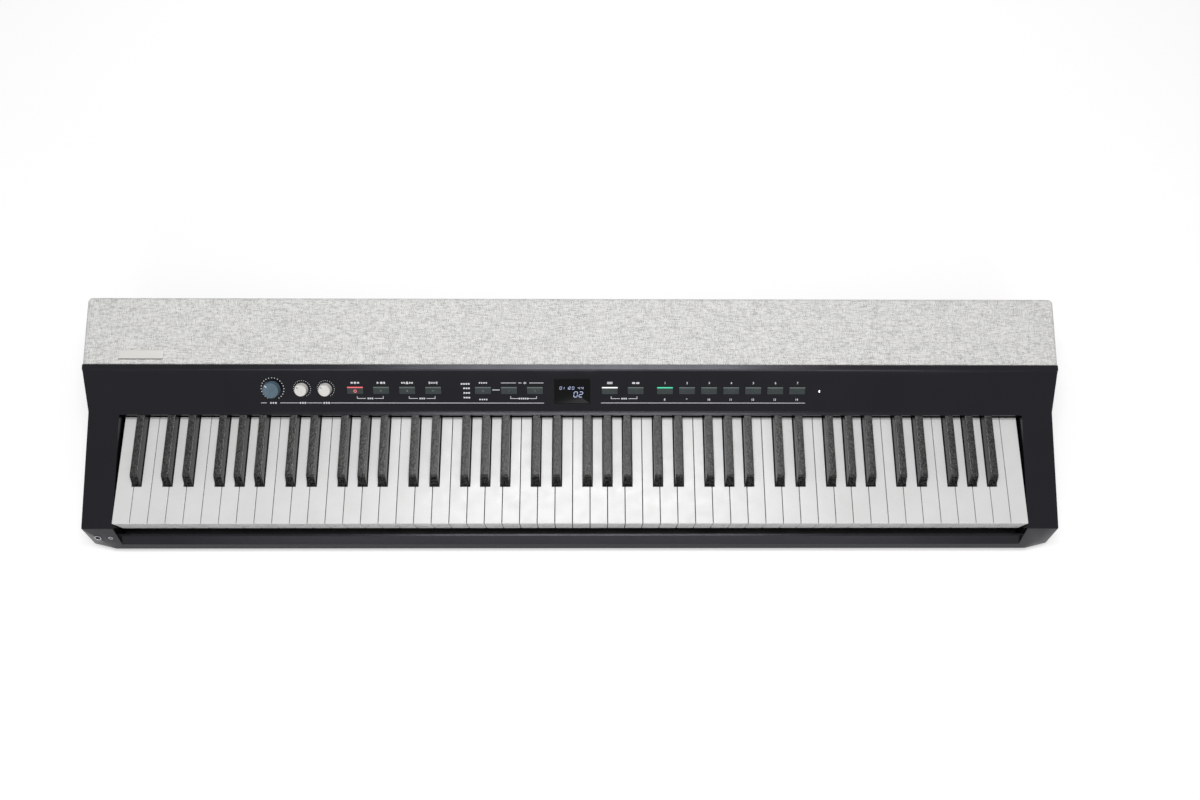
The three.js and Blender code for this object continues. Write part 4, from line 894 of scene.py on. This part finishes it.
def glowing(name, colour, strength):
    material = finish(name, colour, roughness=0.4)
    surface = material.node_tree.nodes["Principled BSDF"]
    surface.inputs["Emission Color"].default_value = colour
    surface.inputs["Emission Strength"].default_value = strength
    uneven(material, "Roughness", scale=500, low=0.34, high=0.48)
    return material


button_plastic = finish("slate_button_plastic", paint(48, 56, 57), roughness=0.45, specular=0.35)
uneven(button_plastic, "Base Color", scale=90, low=paint(44, 51, 52), high=paint(54, 61, 62))
uneven(button_plastic, "Roughness", scale=200, low=0.38, high=0.5)
moulded_grain(button_plastic, scale=1500, depth=0.00002, strength=0.35)
dull_bar = finish("unlit_light_bar", paint(100, 108, 106), roughness=0.35)
uneven(dull_bar, "Roughness", scale=400, low=0.3, high=0.42)

for name, x in button_places.items():
    hx, hy = button_half_x, button_half_y
    cap = stacked([
        (0.003, 0.003, 0.0003, -0.0075), (0.003, 0.003, 0.0003, -0.0045),
        (hx + flange, hy + flange, 0.0004, -0.0045), (hx + flange, hy + flange, 0.0004, -0.0033),
        (hx, hy, 0.0006, -0.0033), (hx, hy, 0.0006, button_rise - 0.0007),
        (hx - 0.00012, hy - 0.00012, 0.0006, button_rise - 0.0003),
        (hx - 0.0004, hy - 0.0004, 0.0005, button_rise - 0.00005),
        (hx - 0.0008, hy - 0.0008, 0.0004, button_rise),
        (hx - 0.0022, hy - 0.0018, 0.0004, button_rise - 0.0001),
        (hx - 0.0050, hy - 0.0030, 0.0004, button_rise - 0.00018),
    ])
    bar = stacked([
        (hx - 0.0003, light_bar_height / 2, 0.0003, button_rise - 0.0008),
        (hx - 0.0003, light_bar_height / 2, 0.0003, button_rise - 0.0001),
        (hx - 0.0005, light_bar_height / 2 - 0.0002, 0.0002, button_rise + 0.0001),
    ])
    bmesh.ops.translate(bar, vec=(0, hy - light_bar_height / 2 - 0.0001, 0), verts=bar.verts)
    inlaid(cap, bar)
    cap.transform(on_panel(x, button_row))
    light = glowing(f"{name}_light", paint(*lit_bars[name]), strength=0.4) if name in lit_bars else dull_bar
    node = f"button_{name}"
    dress(object_of(cap, f"{node}_cap"), node, "button_plastic", button_plastic, light, stands_for=[node])

# Knobs. A large slate-blue one and two off-white ones, turned caps with a slight draught and a
# satin top. A white line on the blue one and a dark one on the others points to the setting.
knob_places = {"volume": -0.404, "bass": -0.3643, "treble": -0.3324}
knob_row = 0.0332
knob_facets = 96
knob_flutes, flute_depth = 24, 0.00016
pointer_turn = math.radians(135)
nub_reach = 0.0008
nub_half = 0.0026


def knob_plastic(name, colour, low, high):
    material = finish(name, colour, roughness=0.5, specular=0.4)
    uneven(material, "Base Color", scale=140, low=low, high=high)
    uneven(material, "Roughness", scale=260, low=0.44, high=0.58)
    moulded_grain(material, scale=1300, depth=0.00003, strength=0.4)
    return material


blue_plastic = knob_plastic("slate_blue_knob", paint(88, 110, 123),
                            low=paint(84, 105, 118), high=paint(94, 116, 130))
pale_plastic = knob_plastic("off_white_knob", paint(233, 231, 226),
                            low=paint(229, 227, 221), high=paint(237, 235, 231))
white_ink = finish("white_ink", paint(235, 236, 238), roughness=0.6)
uneven(white_ink, "Base Color", scale=900, low=paint(222, 223, 226), high=paint(242, 243, 245))
dark_ink = finish("dark_ink", paint(60, 62, 66), roughness=0.6)
uneven(dark_ink, "Base Color", scale=900, low=paint(52, 54, 58), high=paint(70, 72, 76))

for name, radius, height, plastic, ink, slot in [
    ("volume", 0.0112, 0.0106, blue_plastic, white_ink, "knob_blue"),
    ("bass", 0.0085, 0.0102, pale_plastic, dark_ink, "knob_pale"),
    ("treble", 0.0085, 0.0102, pale_plastic, dark_ink, "knob_pale"),
]:
    foot, top = 0.0006, 0.0006 + height
    tip = radius - 0.0005

    def grip(r, level, angle, foot=foot, top=top, radius=radius):
        """A nub beside the pointer, and shallow flutes that fade out at the foot and the shoulder"""
        if r < 0.6 * radius or level < foot:
            return r
        off = (angle - pointer_turn + math.pi) % (2 * math.pi) - math.pi
        nub = nub_reach * max(0, math.cos(min(abs(off) * radius / nub_half, 1) * math.pi / 2)) ** 0.7
        inside = (level - foot - 0.0012) * (top - 0.0018 - level)
        fluted = inside > 0 and r > 0.9 * radius
        flute = flute_depth * (0.5 - 0.5 * math.cos(angle * knob_flutes)) if fluted else 0
        return r + nub * (r / radius) ** 3 - flute

    profile = [
        (0, -0.0055), (0.003, -0.0055), (0.003, foot), (radius - 0.0005, foot),
        (radius - 0.0001, foot + 0.0002), (radius, foot + 0.0006), (radius - 0.00008, foot + 0.0016),
        (radius - 0.0003, (foot + top) / 2),
        (tip + 0.0001, top - 0.0022), (tip, top - 0.0012), (tip - 0.00012, top - 0.0007),
        (tip - 0.0004, top - 0.00025), (tip - 0.0009, top), (tip - 0.0022, top - 0.00008),
        (0.5 * tip, top - 0.00022), (0, top - 0.00025),
    ]
    knob = turned(profile, knob_facets, grip)
    long, wide = (0.0018, 0.00065) if ink == white_ink else (0.0016, 0.0004)
    mark = stacked([
        (wide, long, 0.0003, top - 0.0012), (wide, long, 0.0003, top - 0.00003),
        (wide - 0.0001, long - 0.0001, 0.0002, top + 0.00003),
    ])
    mark.transform(Matrix.Rotation(pointer_turn - math.pi / 2, 4, "Z")
                   @ Matrix.Translation((0, tip - long - 0.0005, 0)))
    inlaid(knob, mark)
    knob.transform(on_panel(knob_places[name], knob_row))
    dress(object_of(knob, f"knob_{name}_cap"), f"knob_{name}", slot, plastic, ink,
          stands_for=[f"knob_{name}"])

# Display. A polished black window set flush in the panel, with light numerals showing through it
# from the module below.
display_x, display_s = -0.0007, 0.0299
window_half_x, window_half_s = 0.02395, 0.0171
window_depth = 0.0018
stroke = 0.00062
slant = 0.12

window = stacked([
    (window_half_x, window_half_s, 0.0004, -window_depth),
    (window_half_x, window_half_s, 0.0004, -0.00035),
    (window_half_x - 0.0001, window_half_s - 0.0001, 0.0004, -0.0001),
    (window_half_x - 0.0003, window_half_s - 0.0003, 0.0003, 0),
])
window.transform(on_panel(display_x, display_s))
dress(object_of(window, "display_window_pane"), "case", "display_plastic", window_black,
      stands_for=["display_window"])

segments = {"0": "abcdef", "1": "bc", "2": "abged", "4": "fgbc"}
numeral_levels = (0.00002, 0.00006)
numerals = bmesh.new()


def raised(form, corners, levels):
    """A thin patch on a form between two levels, its corners given counter-clockwise"""
    lower, upper = ([form.verts.new((x, s, level)) for x, s in corners] for level in levels)
    form.faces.new(list(reversed(lower)))
    form.faces.new(upper)
    walled(form, lower, upper)


def numeral(digit, x, s, width, height, weight):
    """One numeral of seven slanted bars, its lower left corner at x, s"""
    bars = {
        "a": (0, height, width, height), "b": (width, height / 2, width, height),
        "c": (width, 0, width, height / 2), "d": (0, 0, width, 0), "e": (0, 0, 0, height / 2),
        "f": (0, height / 2, 0, height), "g": (0, height / 2, width, height / 2),
    }
    for bar in segments[digit]:
        x0, s0, x1, s1 = bars[bar]
        along = (weight * 0.6, 0) if s0 == s1 else (0, weight * 0.6)
        across = (0, weight / 2) if s0 == s1 else (weight / 2, 0)
        ends = [(x0 + along[0], s0 + along[1]), (x1 - along[0], s1 - along[1])]
        base = [(px + side * across[0], ps + side * across[1])
                for (px, ps), side in zip(ends + ends[::-1], (-1, -1, 1, 1))]
        raised(numerals, [(x + px + slant * ps, s + ps) for px, ps in base], numeral_levels)


for digit, x in [("0", 0.0018), ("2", 0.0089)]:
    numeral(digit, display_x + x, s=0.0218, width=0.0046, height=0.0074, weight=0.0008)
for digit, x in [("0", -0.0170), ("1", -0.0137), ("1", -0.0082), ("2", -0.0049), ("0", -0.0003),
                 ("4", 0.0075), ("4", 0.0121)]:
    numeral(digit, display_x + x, s=0.0326, width=0.0026, height=0.0036, weight=stroke)
numerals.transform(panel_frame)
display_light = glowing("display_light", paint(176, 186, 222), strength=0.6)
dress(object_of(numerals, "display_numerals"), "case", "display_plastic", display_light)

# Panel print. White screen-printed rules, brackets and plain marks by the buttons, and a scale of
# dots round each knob. The ink stands a few hundredths of a millimetre proud.
ink_levels = (0.00001, 0.00005)
rule = 0.00075
letter_half_depth = 0.00002
mark_row, number_row = 0.0416, 0.0182
bracket_row, bracket_leg_row = 0.0196, 0.0213
print_form = bmesh.new()


def inked(corners):
    """A printed patch with the corners given, counter-clockwise, on the panel"""
    raised(print_form, corners, ink_levels)


def patch(x, s, width, height):
    inked([(x - width / 2, s - height / 2), (x + width / 2, s - height / 2),
           (x + width / 2, s + height / 2), (x - width / 2, s + height / 2)])


def across_rule(x0, x1, s, weight=rule):
    patch((x0 + x1) / 2, s, x1 - x0, weight)


def disc(x, s, radius, facets=16):
    inked([(x + radius * math.cos(2 * math.pi * n / facets), s + radius * math.sin(2 * math.pi * n / facets))
           for n in range(facets)])


def circle(x, s, radius, weight, facets=20):
    for n in range(facets):
        a, b = 2 * math.pi * n / facets, 2 * math.pi * (n + 1) / facets
        inked([(x + r * math.cos(t), s + r * math.sin(t))
               for r, t in ((radius - weight / 2, a), (radius + weight / 2, a),
                            (radius + weight / 2, b), (radius - weight / 2, b))])


def bracket(x0, x1, gap):
    """The mark under two buttons that work together, open in the middle"""
    middle = (x0 + x1) / 2
    for end, inner in ((x0, middle - gap), (x1, middle + gap)):
        across_rule(min(end, inner) - rule / 2, max(end, inner) + rule / 2, bracket_row)
        patch(end, bracket_leg_row, rule, 0.0030)


# Long rules under the knobs and buttons, broken for the knob marks
for x0, x1 in [(-0.4213, -0.4135), (-0.3955, -0.3705), (-0.3590, -0.3385), (-0.3270, -0.0390)]:
    across_rule(x0, x1, 0.0132)
across_rule(0.0383, 0.3157, 0.0135)
for x in (-0.4045, -0.3648, -0.3328):
    for offset in (-0.0033, 0, 0.0033):
        disc(x + offset, 0.0132, 0.0013)
for x0, x1 in [(-0.291, -0.256), (-0.221, -0.186), (-0.084, -0.049), (0.052, 0.087)]:
    bracket(x0, x1, 0.0062)
for x in (-0.2735, -0.2035, 0.0695):
    for offset in (-0.0028, 0, 0.0028):
        patch(x + offset, bracket_row, 0.0020, 0.0021)
for offset in (-0.0056, -0.0028, 0, 0.0028, 0.0056):
    patch(-0.0665 + offset, bracket_row, 0.0020, 0.0021)
across_rule(-0.1085, -0.0985, button_row + 0.0004, 0.0010)
across_rule(-0.0970, -0.0765, mark_row)
across_rule(-0.0585, -0.0395, mark_row)
patch(-0.0712, mark_row, 0.0042, 0.0009)
patch(-0.0645, mark_row, 0.0042, 0.0009)
patch(-0.0645, mark_row, 0.0009, 0.0034)

# Marks over the buttons: a spot, a triangle with a square, a pendulum and beats
disc(button_places["record"], mark_row, 0.0016)
for side in (-1, 1):
    patch(button_places["record"] + 0.0042 * side, mark_row, 0.0030, 0.0022)
inked([(-0.2636, 0.0400), (-0.2602, mark_row), (-0.2636, 0.0432)])
patch(-0.2575, mark_row, 0.0030, 0.0028)
patch(-0.2536, mark_row, 0.0022, 0.0028)
inked([(-0.2250, 0.0400), (-0.2210, 0.0400), (-0.2222, 0.0433), (-0.2238, 0.0433)])
for side in (-1, 1):
    for n in range(2):
        patch(button_places["metronome"] + side * (0.0038 + 0.0030 * n), mark_row, 0.0020, 0.0022)
for n in range(5):
    patch(-0.1930 + 0.0025 * n, mark_row, 0.0015, 0.0032 if n % 4 == 0 else 0.0021)
for n in range(4):
    disc(-0.1255 + 0.0030 * n, mark_row, 0.0011)
    disc(-0.1255 + 0.0030 * n, number_row, 0.0011)
for n in range(2):
    patch(button_places["layer"], 0.0408 + 0.0018 * n, 0.0074, 0.0011)
    patch(0.0822 + 0.0056 * n, mark_row, 0.0042, 0.0024)
for s, count in ((0.0402, 4), (0.0340, 3), (0.0275, 3), (0.0209, 3)):
    for n in range(count):
        patch(-0.1400 - 0.0032 * n, s, 0.0024, 0.0021)


def printed_numbers(name, first, s):
    """Plain numbers in a row over or under the sound buttons, as one mesh on the panel"""
    joined = bmesh.new()
    for n in range(sound_count):
        face = bpy.data.curves.new(name, "FONT")
        face.body = str(first + n)
        face.size = 0.0040
        face.offset = 0.00012
        face.align_x = face.align_y = "CENTER"
        face.extrude = letter_half_depth
        letter = placed(name, face)
        mesh = plain_mesh(letter)
        mesh.transform(on_panel(button_places[f"sound_{n + 1}"], s, ink_levels[1] - letter_half_depth))
        joined.from_mesh(mesh)
        bpy.data.objects.remove(letter)
        bpy.data.meshes.remove(mesh)
        bpy.data.curves.remove(face)
    bmesh.ops.remove_doubles(joined, verts=joined.verts, dist=1e-7)
    dress(object_of(joined, name), "case", None, white_ink)


printed_numbers("sound_numbers_upper", 1, mark_row)
printed_numbers("sound_numbers_lower", 1 + sound_count, number_row)
print_form.transform(panel_frame)
dress(object_of(print_form, "panel_print"), "case", None, white_ink)

# The scale of dots round each knob, made by a tree from its radius, sweep and number of dots
dot_tree, entry, result = new_tree(
    "dot_scale", ("Scale radius", "Float"), ("First angle", "Float"), ("Sweep", "Float"),
    ("Dots", "Int"), ("Dot radius", "Float"), ("Dot height", "Float"), ("Finish", "Material"))
arc = dot_tree.nodes.new("GeometryNodeCurveArc")
arc.inputs["Resolution"].default_value = 64
spread = dot_tree.nodes.new("GeometryNodeCurveToPoints")
spread.mode = "COUNT"
dot = dot_tree.nodes.new("GeometryNodeMeshCylinder")
dot.inputs["Vertices"].default_value = 10
for start, end in [
    (entry.outputs["Scale radius"], arc.inputs["Radius"]),
    (entry.outputs["First angle"], arc.inputs["Start Angle"]),
    (entry.outputs["Sweep"], arc.inputs["Sweep Angle"]),
    (arc.outputs["Curve"], spread.inputs["Curve"]),
    (entry.outputs["Dots"], spread.inputs["Count"]),
    (entry.outputs["Dot radius"], dot.inputs["Radius"]),
    (entry.outputs["Dot height"], dot.inputs["Depth"]),
]:
    dot_tree.links.new(start, end)
set_and_finish(dot_tree, entry, result, spread.outputs["Points"], dot.outputs["Mesh"])

scale_dots = 21
dot_thickness = 0.00005
for name, radius, size in [("volume", 0.0152, 0.00072), ("bass", 0.0114, 0.00048),
                           ("treble", 0.0114, 0.00048)]:
    scale = points_object(f"{name}_scale", [])
    run_tree(scale, dot_tree, {
        "Scale radius": radius, "First angle": math.radians(-60), "Sweep": math.radians(300),
        "Dots": scale_dots, "Dot radius": size, "Dot height": dot_thickness, "Finish": white_ink})
    scale.data.transform(on_panel(knob_places[name], knob_row, 0.00003))
    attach(scale, "case")

# Marks on the caps. Pad-printed in grey ink on the dished tops, so they move with their buttons.
# The record button's ring is a clear inlay, lit red from below.
cap_ink = finish("grey_cap_ink", paint(104, 114, 113), roughness=0.55)
uneven(cap_ink, "Base Color", scale=900, low=paint(98, 108, 107), high=paint(114, 124, 122))
red_ring = glowing("record_ring_light", paint(240, 128, 134), strength=0.5)
for name, shape in [("record", "ring"), ("play", "triangle"), ("metronome", "pendulum"), ("rhythm", "beats"),
                    ("function", "spot"), ("tempo_down", "minus"), ("tempo_up", "plus")]:
    print_form = bmesh.new()
    if shape == "ring":
        circle(0, -0.0011, 0.0017, 0.0008, facets=24)
    elif shape == "triangle":
        inked([(-0.0014, -0.0018), (0.0012, -0.0004), (-0.0014, 0.0010)])
    elif shape == "pendulum":
        inked([(-0.0013, -0.0018), (0.0013, -0.0018), (0.0005, 0.0010), (-0.0005, 0.0010)])
    elif shape == "beats":
        for n in range(3):
            patch(-0.0014 + 0.0014 * n, -0.0004, 0.0007, 0.0024 - 0.0006 * n)
    elif shape == "spot":
        circle(0, -0.0004, 0.0011, 0.0005)
    else:
        patch(0, -0.0004, 0.0024, 0.0006)
        if shape == "plus":
            patch(0, 0.0006, 0.0006, 0.0010)
            patch(0, -0.0014, 0.0006, 0.0010)
    print_form.transform(on_panel(button_places[name], button_row, button_rise - 0.00015))
    mark_finish = red_ring if shape == "ring" else cap_ink
    dress(object_of(print_form, f"{name}_mark"), f"button_{name}", None, mark_finish)

# Power light. A small moulded clear lens over a white light, pressed into a hole in the panel at
# the treble end.
lens = stacked([
    (0.0009, 0.0017, 0.0008, -0.0004), (0.0009, 0.0017, 0.0008, 0.0001),
    (0.0007, 0.0014, 0.0006, 0.00032), (0.0004, 0.0010, 0.0003, 0.00042),
])
lens.transform(on_panel(0.3341, 0.0301))
power_light_white = glowing("power_light_white", paint(245, 248, 255), strength=1.1)
dress(object_of(lens, "power_light"), "case", None, power_light_white)

# The room. A plain white floor that keeps the shadow, and a white surround that the camera and the
# glossy finishes see, while the light it gives is weaker.
floor_reach = 9.0
floor_glow = 0.44
room_light = 0.28
floor_form = bmesh.new()
bmesh.ops.create_grid(floor_form, x_segments=4, y_segments=4, size=floor_reach)
floor = object_of(floor_form, "floor")
floor_white = bpy.data.materials.new("white_floor")
floor_white.use_nodes = True
nodes, links = floor_white.node_tree.nodes, floor_white.node_tree.links
nodes["Principled BSDF"].inputs["Base Color"].default_value = (0.8, 0.8, 0.8, 1)
nodes["Principled BSDF"].inputs["Roughness"].default_value = 0.9
nodes["Principled BSDF"].inputs["Specular IOR Level"].default_value = 0.0
glow = nodes.new("ShaderNodeEmission")
glow.inputs["Strength"].default_value = floor_glow
dark = nodes.new("ShaderNodeEmission")
dark.inputs["Strength"].default_value = 0.0


def lit_and_seen(nodes, links, lit, looks):
    """One shader for the light that a surface gives, another for how the camera and glosses see it"""
    rays = nodes.new("ShaderNodeLightPath")
    seen = rays.outputs["Is Camera Ray"]
    for kind in ("Is Glossy Ray", "Is Transmission Ray"):
        larger = nodes.new("ShaderNodeMath")
        larger.operation = "MAXIMUM"
        links.new(seen, larger.inputs[0])
        links.new(rays.outputs[kind], larger.inputs[1])
        seen = larger.outputs[0]
    choose = nodes.new("ShaderNodeMixShader")
    links.new(seen, choose.inputs["Fac"])
    links.new(lit.outputs[0], choose.inputs[1])
    links.new(looks.outputs[0], choose.inputs[2])
    return choose.outputs[0]


total = nodes.new("ShaderNodeAddShader")
links.new(nodes["Principled BSDF"].outputs[0], total.inputs[0])
links.new(lit_and_seen(nodes, links, dark, glow), total.inputs[1])
links.new(total.outputs[0], nodes["Material Output"].inputs["Surface"])
floor.data.materials.append(floor_white)
floor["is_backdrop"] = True

world = bpy.data.worlds.new("white_room")
bpy.context.scene.world = world
world.use_nodes = True
nodes, links = world.node_tree.nodes, world.node_tree.links
room = nodes["Background"]
room.inputs["Color"].default_value = (1, 1, 1, 1)
room.inputs["Strength"].default_value = room_light
surround = nodes.new("ShaderNodeBackground")
surround.inputs["Strength"].default_value = 1.0
links.new(lit_and_seen(nodes, links, room, surround), nodes["World Output"].inputs["Surface"])


# Lamps. Two narrow soft boxes over the middle of the keyboard, and a weak wide one in front of it.
# Each is a plain lit rectangle.
def soft_box(name, place, aim, width, depth, power):
    lamp = bpy.data.lights.new(name, "AREA")
    lamp.shape, lamp.size, lamp.size_y, lamp.energy = "RECTANGLE", width, depth, power
    holder = placed(name, lamp)
    holder.location = place
    holder.rotation_euler = (Vector(place) - Vector(aim)).to_track_quat("Z", "Y").to_euler()


soft_box("soft_box_over_keys", place=(0.02, 0.40, 2.3), aim=(0.02, 0.1, 0.06),
         width=1.2, depth=0.29, power=17)
soft_box("soft_box_over_player", place=(0.02, -0.07, 2.3), aim=(0.02, 0, 0.06),
         width=1.2, depth=0.17, power=10)
soft_box("soft_box_front", place=(0, -2.6, 0.9), aim=(0, 0, 0.05), width=2.6, depth=0.6, power=18)

# Camera. It stands over the player's side of the keyboard and looks down at it, with the lens and
# place that the key edges in the photograph gave.
camera = bpy.data.cameras.new("camera")
camera.sensor_width = 36
camera.lens = 31.04
camera.clip_start, camera.clip_end = 0.05, 60
eye = placed("camera", camera)
eye.location = (0.02035, -0.37308, 1.434)
eye.rotation_euler = [math.radians(a) for a in (16.6, -0.662, -0.144)]
bpy.context.scene.camera = eye
bpy.context.scene.view_settings.view_transform = "Standard"

low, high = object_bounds()
